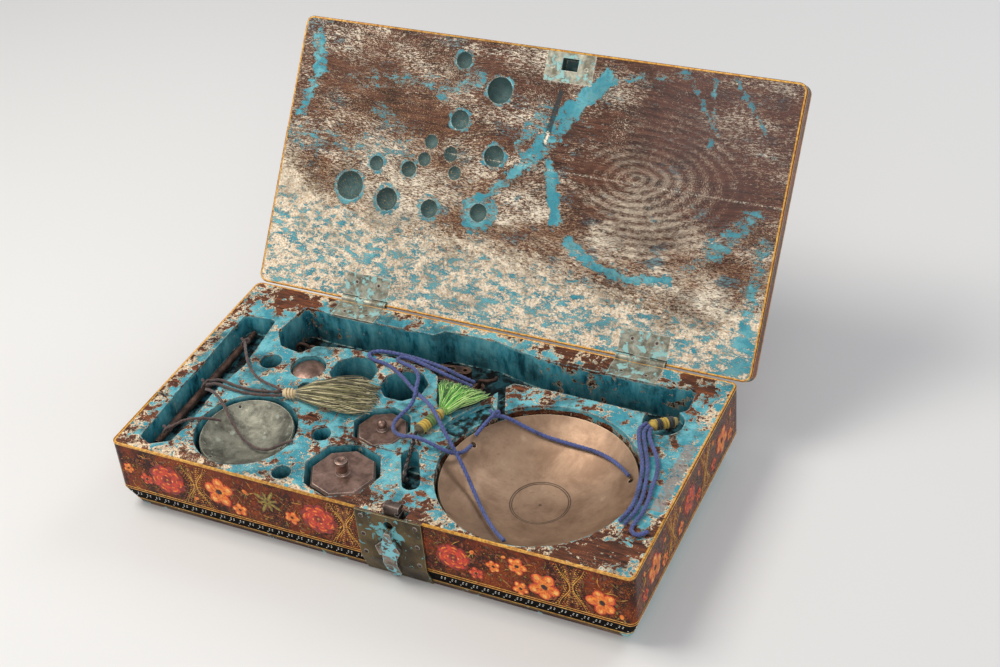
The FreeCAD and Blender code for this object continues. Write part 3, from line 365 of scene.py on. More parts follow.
@dataclass(frozen=True)
class Layers:
    """Wood, gesso and turquoise paint over one another, each where its own cover is over a half."""

    wood: Value
    grain: Value
    gesso_cover: Value
    paint_cover: Value
    turquoise: Value
    pitted: Value = 1.0
    soot: float = 0.62

    def mix(self, g: Graph, p: Value, paint: PaintColours, pepper: Value) -> tuple[Value, Value, Value]:
        """Lays them with chipped edges, fine specks and dirt.

        Args:
            g: The material's graph.
            p: The place in millimetres.
            paint: The colours.
            pepper: From 0 to 1, how dense the pale specks on the wood are.

        Returns:
            The colour, the roughness and the height.
        """
        crumbs = g.noise(p, 0.85, 5, 0.75)
        grit = g.noise(g.turned(p, place=(31.0, 7.0, 3.0)), 1.5, 3, 0.8)
        gesso_on = g.step(self.gesso_cover, 0.497, 0.505)
        paint_on = g.step(self.paint_cover, 0.498, 0.504)
        thick = g.noise(p, 0.03, 4, 0.6)
        specks = g.step(g.add(grit, g.times(pepper, 0.1), g.times(thick, 0.5)), 0.965, 0.985)
        holes = g.step(g.add(crumbs, g.times(grit, 0.3), g.times(thick, -0.3)), 0.37, 0.355)
        gesso = g.blend(g.step(crumbs, 0.4, 0.66), paint.gesso, paint.tan)
        colour = g.blend(g.largest(gesso_on, specks), self.wood, gesso)
        whole = g.times(paint_on, g.inverse(g.times(g.times(holes, 0.85), self.pitted)))
        colour = g.blend(whole, colour, self.turquoise)
        lip = g.times(g.band(self.paint_cover, 0.492, 0.004, 0.006), g.step(grit, 0.42, 0.5))
        colour = g.blend(g.times(lip, 0.55), colour, paint.gesso)
        soot = g.times(g.step(g.noise(p, 0.05, 7, 0.68), 0.47, 0.66), self.soot)
        colour = g.blend(soot, colour, paint.dirt)
        rough = g.between(whole, g.between(gesso_on, 0.48, 0.68), 0.4)
        rough = g.add(rough, g.times(crumbs, 0.14))
        height = g.add(
            g.times(whole, 0.45), g.times(gesso_on, 0.3), g.times(specks, 0.12), g.times(self.grain, 0.35),
            g.times(crumbs, 0.3))
        return colour, rough, height


@dataclass(frozen=True)
class TrayFinish:
    """Chipped turquoise on gesso and wood inside, and lacquer outside, for the case's boards."""

    name: str = "tray_paint"
    paint: PaintColours = field(default_factory=PaintColours)
    outside: LacquerColours = field(default_factory=LacquerColours)
    ring: tuple[float, float, float] = (77.3, -23.5, 53.0)
    bare: tuple[tuple[float, float, float, float, float], ...] = (
        (-133.0, 66.0, 10.0, 14.0, 0.05), (-116.0, 70.0, 8.0, 14.0, 0.07), (126.0, 66.0, 6.0, 12.0, 0.04),
        (29.0, -66.0, 5.0, 7.0, 0.08), (132.0, -58.0, 8.0, 12.0, 0.06), (-8.0, -68.0, 8.0, 10.0, 0.08),
        (112.0, -70.0, 12.0, 12.0, 0.07), (60.0, 73.0, 20.0, 16.0, 0.05), (-92.0, -66.0, 10.0, 9.0, 0.04),
    )
    grey_strip: tuple[float, float, float, float] = (143.6, -4.0, 3.2, 26.0)

    def wood(self, g: Graph, p: Value) -> tuple[Value, Value]:
        """Brown wood with its grain along X, and the grain's own value."""
        long = g.turned(p, size=(0.12, 1.0, 1.0))
        grain = g.noise(long, 0.6, 7, 0.7, 0.6)
        colour = g.ramp(grain, (
            (0.32, self.paint.dark_wood), (0.48, self.paint.wood), (0.66, self.paint.red_wood),
        ))
        return colour, grain

    def turquoise(self, g: Graph, p: Value, wall: Value, low: Value) -> Value:
        """The paint's own colour: mottled above, deep and streaked down the cut walls."""
        tint = g.noise(p, 0.07, 6, 0.65)
        colour = g.blend(g.step(tint, 0.4, 0.62), self.paint.turquoise, self.paint.pale)
        colour = g.blend(g.times(g.step(g.noise(p, 0.7, 5, 0.7), 0.5, 0.66), 0.45), colour, self.paint.deep)
        streaks = g.noise(g.turned(p, size=(1.0, 1.0, 0.3)), 0.13, 8, 0.7)
        walls = g.ramp(streaks, (
            (0.3, self.paint.dirt), (0.38, self.paint.deep), (0.46, self.paint.turquoise), (0.66, self.paint.pale),
        ))
        return g.blend(g.times(wall, low), colour, walls)

    def build(self) -> bpy.types.Material:
        """The material."""
        g = Graph(self.name)
        p = g.place()
        x, y, z = g.split(p)
        nx, ny, nz = g.facing()
        ax, ay = g.math("ABSOLUTE", x), g.math("ABSOLUTE", y)
        side_x = g.times(g.step(ax, 144.2, 144.8), g.step(g.times(nx, g.math("SIGN", x)), 0.2, 0.4))
        side_y = g.times(g.step(ay, 72.2, 72.8), g.step(g.times(ny, g.math("SIGN", y)), 0.2, 0.4))
        outer = g.largest(side_x, side_y)
        wall = g.step(g.math("ABSOLUTE", nz), 0.6, 0.35)
        low = g.step(z, 45.2, 43.6)
        edge = g.worn_edge(1.5, 0.93, 0.99)

        wood, grain = self.wood(g, p)
        chips = g.noise(p, 0.145, 9, 0.7, 0.25)
        patches = g.noise(p, 0.022, 3, 0.5)
        crumbs = g.noise(p, 0.6, 5, 0.72)
        margin_x = g.math("SUBTRACT", HALF_WIDTH, ax)
        margin_y = g.math("SUBTRACT", HALF_DEPTH, ay)
        margin = g.step(g.math("MINIMUM", margin_x, margin_y), 12.0, 1.0)
        front = g.step(y, -60.0, -72.0)
        cx, cy, radius = self.ring
        away = g.math("SUBTRACT", g.distance(x, y, (cx, cy)), radius)
        ring_wall = g.times(g.times(g.step(away, 4.0, 2.0), wall), g.step(z, 44.4, 42.6))
        bare = g.add(*[g.times(g.near(x, y, (bx, by), r, soft), amount) for bx, by, r, soft, amount in self.bare])
        cover = g.add(g.times(chips, 0.66), g.times(patches, 0.18), g.times(crumbs, 0.16))
        cover = g.add(
            cover, g.times(margin, -0.05), g.times(front, -0.015), g.times(edge, -0.05), g.times(low, 0.085),
            g.times(ring_wall, -0.15), g.times(bare, -1.0), 0.022)
        gesso_shift = g.times(g.noise(p, 0.06, 4, 0.6), 0.16)
        gesso_cover = g.add(cover, gesso_shift, g.times(margin, 0.03), -0.06)
        pepper = g.largest(g.times(front, 0.8), g.times(margin, 0.6), ring_wall, 0.2)
        turquoise = self.turquoise(g, p, wall, low)
        whole_wall = g.inverse(g.times(g.times(wall, low), 0.85))
        layers = Layers(wood, grain, gesso_cover, cover, turquoise, whole_wall)
        colour, rough, height = layers.mix(g, p, self.paint, pepper)

        gx, gy, half_x, half_y = self.grey_strip
        strip = g.times(g.band(x, gx, half_x, 0.3), g.band(y, gy, half_y, 0.3))
        strip = g.times(strip, g.step(nz, 0.5, 0.7))
        colour = g.blend(g.times(strip, g.step(crumbs, 0.6, 0.5)), colour, g.blend(grain, srgb(112, 108, 104), srgb(168, 162, 154)))

        # The floors of the cuts turn near black in broad patches.
        floor = g.times(g.step(nz, 0.5, 0.8), g.step(z, 44.0, 43.0))
        floor_patches = g.noise(p, 0.16, 6, 0.7)
        colour = g.blend(g.times(floor, g.step(floor_patches, 0.62, 0.44)), colour, self.paint.dirt)
        # Painted shade: the colour is multiplied darker the deeper a surface lies in the cuts, more on floors than on
        # walls.
        painted_depth_shade = g.times(g.step(z, 45.0, 25.0), g.between(wall, 0.85, 0.42))
        colour = g.darken(painted_depth_shade, colour, srgb(70, 74, 78))
        # Along the rims of the cuts: cream gesso chips, which are wear, and pale turquoise, which is a painted
        # highlight on the edges.
        rim = g.times(edge, g.step(g.noise(p, 0.3, 5, 0.7), 0.47, 0.55))
        rim_chip_and_highlight_colour = g.blend(g.step(crumbs, 0.45, 0.55), self.paint.gesso, self.paint.pale)
        colour = g.blend(g.times(rim, 0.75), colour, rim_chip_and_highlight_colour)

        shine, shine_rough, shine_height = lacquer(g, p, z, self.outside)
        colour = g.blend(outer, colour, shine)
        return g.finish(
            colour, g.between(outer, rough, shine_rough), g.between(outer, height, shine_height), 0.4, 0.7,
            Specular_IOR_Level=g.between(g.times(outer, g.step(z, PLINTH_TOP, PLINTH_TOP - 0.3)), 0.2, 0.03))


@dataclass(frozen=True)
class LidFinish:
    """The lid: worn paint, what is left of a big turquoise ring and knob hollows inside, lacquer outside.

    Places on the lid are along X and away from the hinge.
    """

    name: str = "lid_paint"
    paint: PaintColours = PaintColours(gesso=srgb(246, 232, 206))
    outside: LacquerColours = field(default_factory=LacquerColours)
    hollows: tuple[tuple[float, float, float, float], ...] = (
        (-43.1, 147.9, 5.2, 0.5), (-39.0, 113.9, 5.7, 1.0), (-86.7, 81.3, 4.6, 0.8), (-65.4, 81.1, 4.8, 0.6),
        (-101.3, 65.9, 8.6, 1.6), (-75.9, 61.8, 6.8, 1.8), (-48.0, 60.6, 5.4, 2.0), (-17.1, 63.4, 5.3, 6.0),
        (-17.8, 133.9, 7.7, 1.2), (-14.0, 96.5, 6.2, 1.4),
    )
    strokes: tuple[tuple[tuple[float, float], tuple[float, float], float, float], ...] = (
        ((45, 149), (28, 129), 4.6, 1.0), ((28, 129), (8, 98), 5.5, 0.7), ((8, 98), (-17, 70), 2.6, 0.75),
        ((20, 98), (26, 79), 2.8, 1.0), ((26, 79), (31, 67), 2.8, 1.0), ((40, 56), (56, 46), 3.0, 0.85),
        ((56, 46), (76, 42.5), 2.3, 0.85), ((76, 42.5), (100, 45), 2.3, 0.8), ((100, 45), (122, 64), 2.6, 0.5),
        ((122, 64), (140, 86), 5.0, 0.55), ((45, 149), (90, 157), 1.6, 0.45), ((-140, 150), (-135, 130), 3.6, 0.7),
        ((-135, 130), (-142, 104), 2.6, 0.6), ((-112, 127), (-62, 134), 5.0, 0.3), ((-92, 113), (-70, 101), 4.0, 0.35),
        ((94, 152), (112, 128), 0.5, 0.7), ((117, 159), (138, 132), 0.5, 0.7), ((106, 156), (110, 120), 0.4, 0.6),
        ((-52, 128), (-32, 138), 5.0, 0.45), ((147, 20), (149, 74), 3.0, 0.35), ((12, 128), (2, 106), 5.0, 0.5),
    )

    def wood(self, g: Graph, p: Value, x: Value, s: Value, z: Value) -> tuple[Value, Value]:
        """Dark brown wood with grain along X that turns round a heart on the right."""
        warp = g.noise(g.join(g.times(x, 0.5), s, z), 0.018, 3)
        bowed = g.join(g.times(x, 0.07), g.add(s, g.times(warp, 30.0)), g.times(z, 0.3))
        grain = g.noise(bowed, 0.9, 8, 0.72, 0.35)
        heart = g.turned(g.join(x, s, 0.0), place=(-34.0, -72.0, 0.0), size=(0.4, 0.72, 1.0))
        bent = g.node("VectorMath", {0: heart, 1: g.join(g.times(warp, 9.0), g.times(grain, 5.0), 0.0)}, operation="ADD")
        rings = g.rings(bent.outputs[0], 0.11, 1.2, 3.0)
        hx, hy, _ = g.split(heart)
        round_way = g.times(g.math("ARCTAN2", hy, hx), 5.0)
        reach = g.node("VectorMath", {0: bent.outputs[0]}, operation="LENGTH").outputs[1]
        in_heart = g.near(x, s, (86.0, 98.0), 26.0, 34.0)
        grain = g.between(g.times(in_heart, 0.45), grain, g.add(g.times(rings, 0.16), g.times(grain, 0.84)))
        colour = g.ramp(grain, (
            (0.36, self.paint.dark_wood), (0.48, self.paint.wood), (0.6, srgb(104, 66, 48)), (0.72, srgb(140, 98, 74)),
        ))
        across = g.add(s, g.times(warp, 30.0))
        lines = g.noise(g.join(g.times(x, 0.035), across, z), 1.5, 5, 0.7)
        colour = g.blend(g.times(g.step(lines, 0.52, 0.64), 0.6), colour, self.paint.dark_wood)
        straight = g.noise(g.join(g.times(x, 0.24), across, z), 1.9, 4, 0.85)
        curved = g.noise(g.join(g.times(round_way, 1.5), g.times(reach, 2.6), 0.0), 1.7, 4, 0.85)
        flecks = g.between(in_heart, straight, curved)
        patchy = g.noise(g.join(g.times(x, 0.45), s, 3.0), 0.04, 5, 0.66)
        share = g.add(
            g.times(patchy, g.between(in_heart, 0.45, 0.3)), g.times(g.step(s, 130.0, 40.0), 0.07),
            g.times(g.times(in_heart, rings), 0.07), g.times(in_heart, 0.035))
        pale = g.step(g.add(flecks, share), 0.775, 0.815)
        shade = g.blend(g.step(patchy, 0.4, 0.6), self.paint.tan, self.paint.gesso)
        shade = g.blend(g.times(in_heart, 0.75), shade, srgb(196, 178, 154))
        blue = g.step(g.noise(g.join(g.times(x, 0.5), s, 9.0), 0.09, 5, 0.7), 0.56, 0.62)
        shade = g.blend(g.times(blue, 0.8), shade, self.paint.turquoise)
        colour = g.blend(g.times(pale, 0.88), colour, shade)
        return colour, g.add(g.times(grain, 0.5), g.times(lines, 0.3), g.times(pale, 0.3))

    def build(self) -> bpy.types.Material:
        """The material."""
        g = Graph(self.name)
        hinge = Vector((0.0, HINGE_Y, HINGE_Z))
        back = Matrix.Rotation(LID_ANGLE, 3, "X")
        p = g.turned(g.place(), place=tuple(hinge - back @ hinge), turn=(LID_ANGLE, 0.0, 0.0))
        x, y, z = g.split(p)
        s = g.math("SUBTRACT", HINGE_Y, y)
        side = g.largest(
            g.step(g.math("ABSOLUTE", g.math("SUBTRACT", x, 3.0)), 152.3, 152.6), g.step(s, 161.0, 161.3),
            g.step(s, 0.5, 0.2), g.step(z, LID_TOP - 1.9, LID_TOP - 1.6),
        )
        wood, grain = self.wood(g, p, x, s, z)
        long = g.join(g.times(x, 0.3), s, z)
        fibres = g.noise(long, 1.3, 9, 0.84, 0.2)
        flakes = g.noise(g.join(g.times(x, 0.6), s, z), 0.17, 8, 0.78, 0.3)
        crumbs = g.noise(p, 1.3, 4, 0.8)
        inside = g.step(z, LID_UNDER + 0.15, LID_UNDER + 0.5)

        lean = g.add(s, g.times(x, 0.12))
        pale = g.step(lean, 76.0, 6.0)
        left = g.times(g.step(x, -118.0, -150.0), g.step(s, 116.0, 70.0))
        right = g.times(g.step(x, 128.0, 150.0), g.step(s, 110.0, 30.0))
        base = g.add(g.times(fibres, 0.58), g.times(flakes, 0.28), g.times(crumbs, 0.14))
        gesso_cover = g.add(base, g.times(pale, 0.22), g.times(left, 0.08), g.times(right, 0.09), -0.1)

        rub = g.noise(p, 0.2, 7, 0.72)
        marks = []
        for start, end, half, strength in self.strokes:
            off = g.add(g.segment(x, s, start, end), g.times(rub, 16.0), -8.0)
            marks.append(g.times(g.step(off, half + 1.4, half - 0.6), strength))
        for hx, hs, radius, wide in self.hollows:
            off = g.add(g.distance(x, s, (hx, hs)), g.times(rub, 11.0), -5.5)
            marks.append(g.times(g.step(off, radius + wide + 0.8, radius + wide), 0.62))
        shapes = g.largest(*marks)
        low_band = g.step(lean, 58.0, 26.0)
        seam = g.times(g.band(s, 90.0, 5.0, 5.0), g.step(x, -40.0, -80.0))
        scatter = g.noise(g.join(g.times(x, 0.5), s, z), 0.24, 8, 0.78, 0.3)
        rubs = g.add(g.times(scatter, 0.52), g.times(fibres, 0.3), g.times(crumbs, 0.18))
        paint_cover = g.add(
            rubs, g.times(shapes, 0.165), g.times(low_band, 0.078), g.times(seam, 0.06), g.times(right, 0.04),
            g.times(inside, 0.4), -0.088)

        turquoise = g.blend(g.step(g.noise(p, 0.1, 5, 0.65), 0.4, 0.62), self.paint.turquoise, self.paint.pale)
        cup = g.blend(g.noise(p, 0.35, 5, 0.7), srgb(34, 46, 44), srgb(96, 116, 108))
        turquoise = g.blend(g.times(inside, 0.88), turquoise, cup)
        layers = Layers(wood, grain, gesso_cover, paint_cover, turquoise, 1.0, 0.36)
        colour, rough, height = layers.mix(g, p, self.paint, 0.6)
        gold_specks = g.step(g.noise(g.turned(p, place=(5.0, 50.0, 9.0)), 1.1, 3, 0.8), 0.6, 0.63)
        gilt = g.times(gold_specks, g.near(x, s, (-78.0, 74.0), 40.0, 60.0))
        colour = g.blend(g.times(gilt, 0.75), colour, srgb(196, 156, 92))
        gouge = g.step(g.add(g.segment(x, s, (19.0, 138.0), (15.0, 108.0)), g.times(rub, 2.4)), 3.1, 2.2)
        colour = g.blend(g.times(gouge, 0.8), colour, srgb(38, 52, 54))
        scar = g.step(g.add(g.segment(x, s, (15.8, 114.0), (15.2, 109.0)), g.times(crumbs, 9.0)), 5.6, 5.0)
        colour = g.blend(scar, colour, self.paint.gesso)
        mauve = g.times(g.near(x, s, (125.0, 135.0), 30.0, 50.0), 0.25)
        colour = g.blend(mauve, colour, srgb(104, 84, 84))
        edge = g.worn_edge(1.4, 0.93, 0.99)
        colour = g.blend(g.times(edge, g.step(crumbs, 0.5, 0.6)), colour, self.paint.gesso)

        high = g.add(z, 100.0)
        shine, shine_rough, shine_height = lacquer(g, p, high, self.outside)
        colour = g.blend(side, colour, shine)
        return g.finish(
            colour, g.between(side, rough, shine_rough), g.between(side, height, shine_height), 0.4, 0.7,
            Specular_IOR_Level=0.22)


@dataclass(frozen=True)
class BottomFinish:
    """The bottom board: bare brown wood with pale turquoise left along its right edge."""

    name: str = "bottom_paint"
    paint: PaintColours = field(default_factory=PaintColours)

    def build(self) -> bpy.types.Material:
        """The material."""
        g = Graph(self.name)
        p = g.place()
        x, _, z = g.split(p)
        grain = g.noise(g.turned(p, size=(0.1, 1.0, 1.0)), 0.5, 6, 0.65, 0.5)
        colour = g.ramp(grain, ((0.32, self.paint.dark_wood), (0.52, self.paint.wood), (0.7, srgb(128, 104, 84))))
        flakes = g.noise(p, 0.2, 8, 0.7)
        cover = g.add(flakes, g.times(g.step(x, 138.0, 145.0), 0.3), g.times(g.step(z, 1.0, 0.0), 0.02))
        paint_on = g.step(cover, 0.6, 0.62)
        colour = g.blend(paint_on, colour, g.blend(g.noise(p, 0.3), self.paint.pale, srgb(176, 208, 202)))
        height = g.add(grain, g.times(paint_on, 0.8), g.times(flakes, 0.6))
        return g.finish(colour, g.between(paint_on, 0.62, 0.7), height, 0.4, 0.6)


@dataclass(frozen=True)
class MetalFinish:
    """Old metal: mottled, stained and rubbed bright along its edges."""

    name: str
    base: Colour
    stain: Colour
    bright: Colour
    rough: float = 0.42
    metal: float = 0.85
    mottle: float = 0.12
    edge: float = 0.8
    pitting: float = 0.12
    engraved: tuple[float, float, tuple[float, ...]] | None = None
    spots: Colour | None = None
    paint: Colour | None = None
    paint_share: float = 0.6
    paint_near: tuple[float, float, float] | None = None

    def build(self) -> bpy.types.Material:
        """The material."""
        g = Graph(self.name)
        p = g.place()
        cloud = g.noise(p, self.mottle, 7, 0.66, 0.3)
        fine = g.noise(p, self.mottle * 7, 5, 0.7)
        colour = g.blend(g.step(cloud, 0.36, 0.66), self.base, self.stain)
        colour = g.blend(g.times(g.step(fine, 0.56, 0.7), 0.5), colour, self.stain)
        colour = g.blend(g.times(g.step(g.add(cloud, g.times(fine, 0.3)), 0.52, 0.44), 0.5), colour, self.bright)
        rough = g.add(self.rough, g.times(cloud, 0.16))
        height = g.add(g.times(fine, 0.5), g.times(cloud, 0.5))
        if self.engraved:
            cx, cy, radii = self.engraved
            x, y, _ = g.split(p)
            away = g.distance(x, y, (cx, cy))
            lines = g.largest(*[g.band(away, radius, 0.18, 0.22) for radius in radii])
            colour = g.blend(g.times(lines, 0.75), colour, srgb(62, 50, 44))
            height = g.add(height, g.times(lines, -1.2))
        if self.spots:
            blots = g.step(g.cells(p, 0.13).outputs["Distance"], 0.24, 0.12)
            blots = g.largest(g.times(blots, 0.5), g.step(g.noise(p, 0.5, 6, 0.75), 0.6, 0.68))
            colour = g.blend(blots, colour, self.spots)
            rough = g.between(blots, rough, 0.8)
            height = g.add(height, g.times(blots, 0.6))
        worn = g.worn_edge(0.7, 0.9, 0.985)
        colour = g.blend(g.times(worn, self.edge), colour, self.bright)
        metal = self.metal
        if self.paint:
            least = 0.66 - 0.2 * self.paint_share
            field_value = g.noise(p, 0.19, 8, 0.68, 0.4)
            if self.paint_near:
                px, pz, radius = self.paint_near
                x, _, z = g.split(p)
                field_value = g.add(field_value, g.times(g.near(x, z, (px, pz), radius * 0.4, radius), 0.16), -0.08)
            left = g.step(field_value, least, least + 0.015)
            colour = g.blend(left, colour, self.paint)
            rough = g.between(left, rough, 0.55)
            metal = g.between(left, self.metal, 0.0)
            height = g.add(height, g.times(left, 0.8))
        return g.finish(colour, rough, height, self.pitting, 0.35, Metallic=metal)


@dataclass(frozen=True)
class ThreadFinish:
    """Twisted silk or cotton, in one colour or in bands along an axis."""

    name: str
    colours: tuple[Colour, Colour]
    start: Point = (0.0, 0.0, 0.0)
    along: Point = (1.0, 0.0, 0.0)
    bands: tuple[tuple[float, Colour], ...] = ()
    fibre: float = 2.2

    def build(self) -> bpy.types.Material:
        """The material."""
        g = Graph(self.name)
        p = g.place()
        fuzz = g.noise(p, self.fibre, 5, 0.75, 0.4)
        worn = g.noise(p, 0.14, 4, 0.6)
        colour = g.blend(g.step(fuzz, 0.35, 0.65), *self.colours)
        if self.bands:
            axis = Vector(self.along)
            offset = g.node("VectorMath", {0: p, 1: self.start}, operation="SUBTRACT").outputs[0]
            way = tuple(axis / axis.length_squared)
            share = g.node("VectorMath", {0: offset, 1: way}, operation="DOT_PRODUCT").outputs[1]
            colour = g.blend(0.82, colour, g.ramp(share, self.bands, steps=True))
        colour = g.darken(g.times(g.step(worn, 0.45, 0.7), 0.6), colour, srgb(150, 140, 135))
        return g.finish(colour, 0.72, fuzz, 0.12, Sheen_Weight=0.25, Sheen_Roughness=0.5)


@dataclass(frozen=True)
class InkFinish:
    """Painted ornament under varnish: a colour that is uneven as brush strokes are."""

    name: str
    low: Colour
    high: Colour
    rough: float = 0.34
    wear: float = 0.6

    def build(self) -> bpy.types.Material:
        """The material."""
        g = Graph(self.name)
        p = g.place()
        stroke = g.noise(p, 0.55, 5, 0.65, 0.5)
        worn = g.noise(p, 0.9, 6, 0.75)
        colour = g.blend(g.step(stroke, 0.36, 0.64), self.low, self.high)
        colour = g.blend(g.times(g.step(worn, 0.58, 0.66), self.wear), colour, srgb(58, 27, 18))
        return g.finish(colour, g.add(self.rough, g.times(worn, 0.15)), worn, 0.06)


@dataclass(frozen=True)
class FloorFinish:
    """A plain pale studio floor."""

    name: str = "studio_floor"
    colour: Colour = srgb(214, 212, 208)

    def build(self) -> bpy.types.Material:
        """The material."""
        g = Graph(self.name)
        return g.finish(self.colour, 0.6)


class Ring:
    """Cross-sections that a sweep starts from, in millimetres about the origin."""

    @staticmethod
    def rope(sides: int, radius: float, lobes: int, depth: float) -> Callable[[bmesh.types.BMesh], list]:
        """A twisted rope's section with one bulge for each strand."""

        def make(bm: bmesh.types.BMesh) -> list:
            """Adds the ring and gives its vertices."""
            verts = bmesh.ops.create_circle(bm, cap_ends=False, segments=sides, radius=radius)["verts"]
            for vert in verts:
                angle = math.atan2(vert.co.y, vert.co.x)
                vert.co *= 1.0 - 0.75 * depth + depth * math.cos(lobes * angle)
            return verts

        return make

    @staticmethod
    def oval(sides: int, across: float, high: float) -> Callable[[bmesh.types.BMesh], list]:
        """An oval section; high is along the sweep's side axis and across along its up axis."""

        def make(bm: bmesh.types.BMesh) -> list:
            """Adds the ring and gives its vertices."""
            verts = bmesh.ops.create_circle(bm, cap_ends=False, segments=sides, radius=0.5)["verts"]
            bmesh.ops.scale(bm, vec=(high, across, 1.0), verts=verts)
            return verts

        return make


def stations(path: Sequence[Vector], up: Vector | None, pitch: float, size: Callable[[float], float] | None) -> list[Matrix]:
    """A matrix at each point of a path, with Z along it.

    Args:
        path: The points in millimetres.
        up: The direction that the matrices' Y keeps to, or None for the least twist.
        pitch: The length of one turn of twist, or 0.
        size: The section's scale at each share of the path, or None.

    Returns:
        One matrix for each point.
    """
    side, before, travelled, found = None, None, 0.0, []
    total = sum((b - a).length for a, b in zip(path, path[1:]))
    for i, point in enumerate(path):
        way = (path[min(i + 1, len(path) - 1)] - path[max(i - 1, 0)]).normalized()
        if i:
            travelled += (point - path[i - 1]).length
        if up is not None:
            side = up.cross(way).normalized()
        elif side is None:
            side = way.orthogonal().normalized()
        else:
            side = (before.rotation_difference(way) @ side).normalized()
        before = way
        matrix = Matrix((side, way.cross(side), way)).transposed().to_4x4()
        matrix.translation = point
        if pitch:
            matrix = matrix @ Matrix.Rotation(2 * math.pi * travelled / pitch, 4, "Z")
        if size:
            matrix = matrix @ Matrix.Scale(size(travelled / total), 4)
        found.append(matrix)
    return found


def sweep(
    bm: bmesh.types.BMesh, path: Sequence[Vector], ring: Callable[[bmesh.types.BMesh], list],
    up: Vector | None = None, pitch: float = 0.0, size: Callable[[float], float] | None = None,
) -> None:
    """Extrudes a closed ring along a path and fills both ends.

    Args:
        bm: The mesh that it goes into.
        path: The points in millimetres.
        ring: Adds the section.
        up: See stations.
        pitch: See stations.
        size: See stations.
    """
    matrices = stations(path, up, pitch, size)
    verts = ring(bm)
    edges = list({edge for vert in verts for edge in vert.link_edges})
    bmesh.ops.transform(bm, matrix=matrices[0], verts=verts)
    first = edges
    for before, after in zip(matrices, matrices[1:]):
        made = bmesh.ops.extrude_edge_only(bm, edges=edges)["geom"]
        verts = [item for item in made if isinstance(item, bmesh.types.BMVert)]
        fresh = set(verts)
        edges = [
            item for item in made
            if isinstance(item, bmesh.types.BMEdge) and item.verts[0] in fresh and item.verts[1] in fresh
        ]
        bmesh.ops.transform(bm, matrix=after @ before.inverted(), verts=verts)
    bmesh.ops.contextual_create(bm, geom=first)
    bmesh.ops.contextual_create(bm, geom=edges)


class Gathering:
    """Many small shapes of one piece. Each part of it stays small, so that adding to it is quick."""

    MOST = 400

    def __init__(self) -> None:
        """Starts empty."""
        self.bm = bmesh.new()
        self.done: list[bpy.types.Mesh] = []

    def put_by(self) -> None:
        """Puts the open mesh with the finished ones."""
        mesh = bpy.data.meshes.new("part")
        self.bm.to_mesh(mesh)
        self.bm.free()
        self.done.append(mesh)

    def open(self) -> bmesh.types.BMesh:
        """The mesh that takes the next shape."""
        if len(self.bm.verts) > self.MOST:
            self.put_by()
            self.bm = bmesh.new()
        return self.bm

    def close(self) -> bmesh.types.BMesh:
        """Everything in one mesh."""
        self.put_by()
        whole = bmesh.new()
        for mesh in self.done:
            whole.from_mesh(mesh)
            bpy.data.meshes.remove(mesh)
        return whole


def piece(
    bm: bmesh.types.BMesh, name: str, material: bpy.types.Material, body: str,
    replaced: Iterable[str] = (), smooth: bool = True,
) -> bpy.types.Object:
    """Turns a mesh drawn in millimetres into a piece that rides on a body.

    Args:
        bm: The mesh; it is freed.
        name: The piece's name.
        material: Its material.
        body: The body that it rides on.
        replaced: The CAD nodes that it stands for.
        smooth: True for smooth shading.

    Returns:
        The object.
    """
    bmesh.ops.scale(bm, vec=(MM, MM, MM), verts=bm.verts)
    bmesh.ops.recalc_face_normals(bm, faces=bm.faces)
    for face in bm.faces:
        face.smooth = smooth
    mesh = bpy.data.meshes.new(name)
    bm.to_mesh(mesh)
    bm.free()
    mesh.materials.append(material)
    made = bpy.data.objects.new(name, mesh)
    bpy.context.scene.collection.objects.link(made)
    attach(made, body)
    if replaced:
        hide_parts(*replaced)
    log.info("%s: %d faces on %s", name, len(mesh.polygons), body)
    return made


def crush(made: bpy.types.Object) -> bpy.types.Object:
    """Gives a soft piece its own copy of its mesh."""
    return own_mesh(made)


class Twist(Enum):
    """How a cord is laid: strands, bulge depth and the length of one turn in diameters."""

    SILK = (3, 0.15, 3.2)
    THONG = (2, 0.13, 6.5)


@dataclass(frozen=True)
class Cord:
    """One cord of a balance: its route, what it stands for and where it goes."""

    name: str
    nodes: tuple[str, ...]
    body: str
    diameter: float
    points: tuple[Point, ...]
    far_end: str
    slot: str
    twist: Twist

    def centreline(self) -> list[Vector]:
        """The points along the smooth route, in metres."""
        data = bpy.data.curves.new(self.name + "_route", "CURVE")
        data.dimensions = "3D"
        data.resolution_u = 24
        spline = data.splines.new("NURBS")
        spline.points.add(len(self.points) - 1)
        for held, point in zip(spline.points, self.points):
            held.co = (*(Vector(point) * MM), 1.0)
        spline.order_u = 3
        spline.use_endpoint_u = True
        bare = bpy.data.objects.new(self.name + "_route", data)
        mesh = bpy.data.meshes.new_from_object(bare)
        line = [vert.co.copy() for vert in mesh.vertices]
        bpy.data.meshes.remove(mesh)
        bpy.data.objects.remove(bare)
        bpy.data.curves.remove(data)
        return line

    def build(self, material: bpy.types.Material, pieces: Sequence[bpy.types.Object] = ()) -> bpy.types.Object:
        """Makes the twisted cord.

        Args:
            material: Its thread.
            pieces: What goes with it, such as a knot; not used.

        Returns:
            The cord's object.
        """
        line = self.centreline()
        lobes, depth, lay = self.twist.value
        bm = bmesh.new()
        ring = Ring.rope(4 * lobes, self.diameter / 2, lobes, depth)
        sweep(bm, [point / MM for point in line], ring, pitch=lay * self.diameter)
        made = piece(bm, self.name, material, self.body, self.nodes)
        return crush(made)


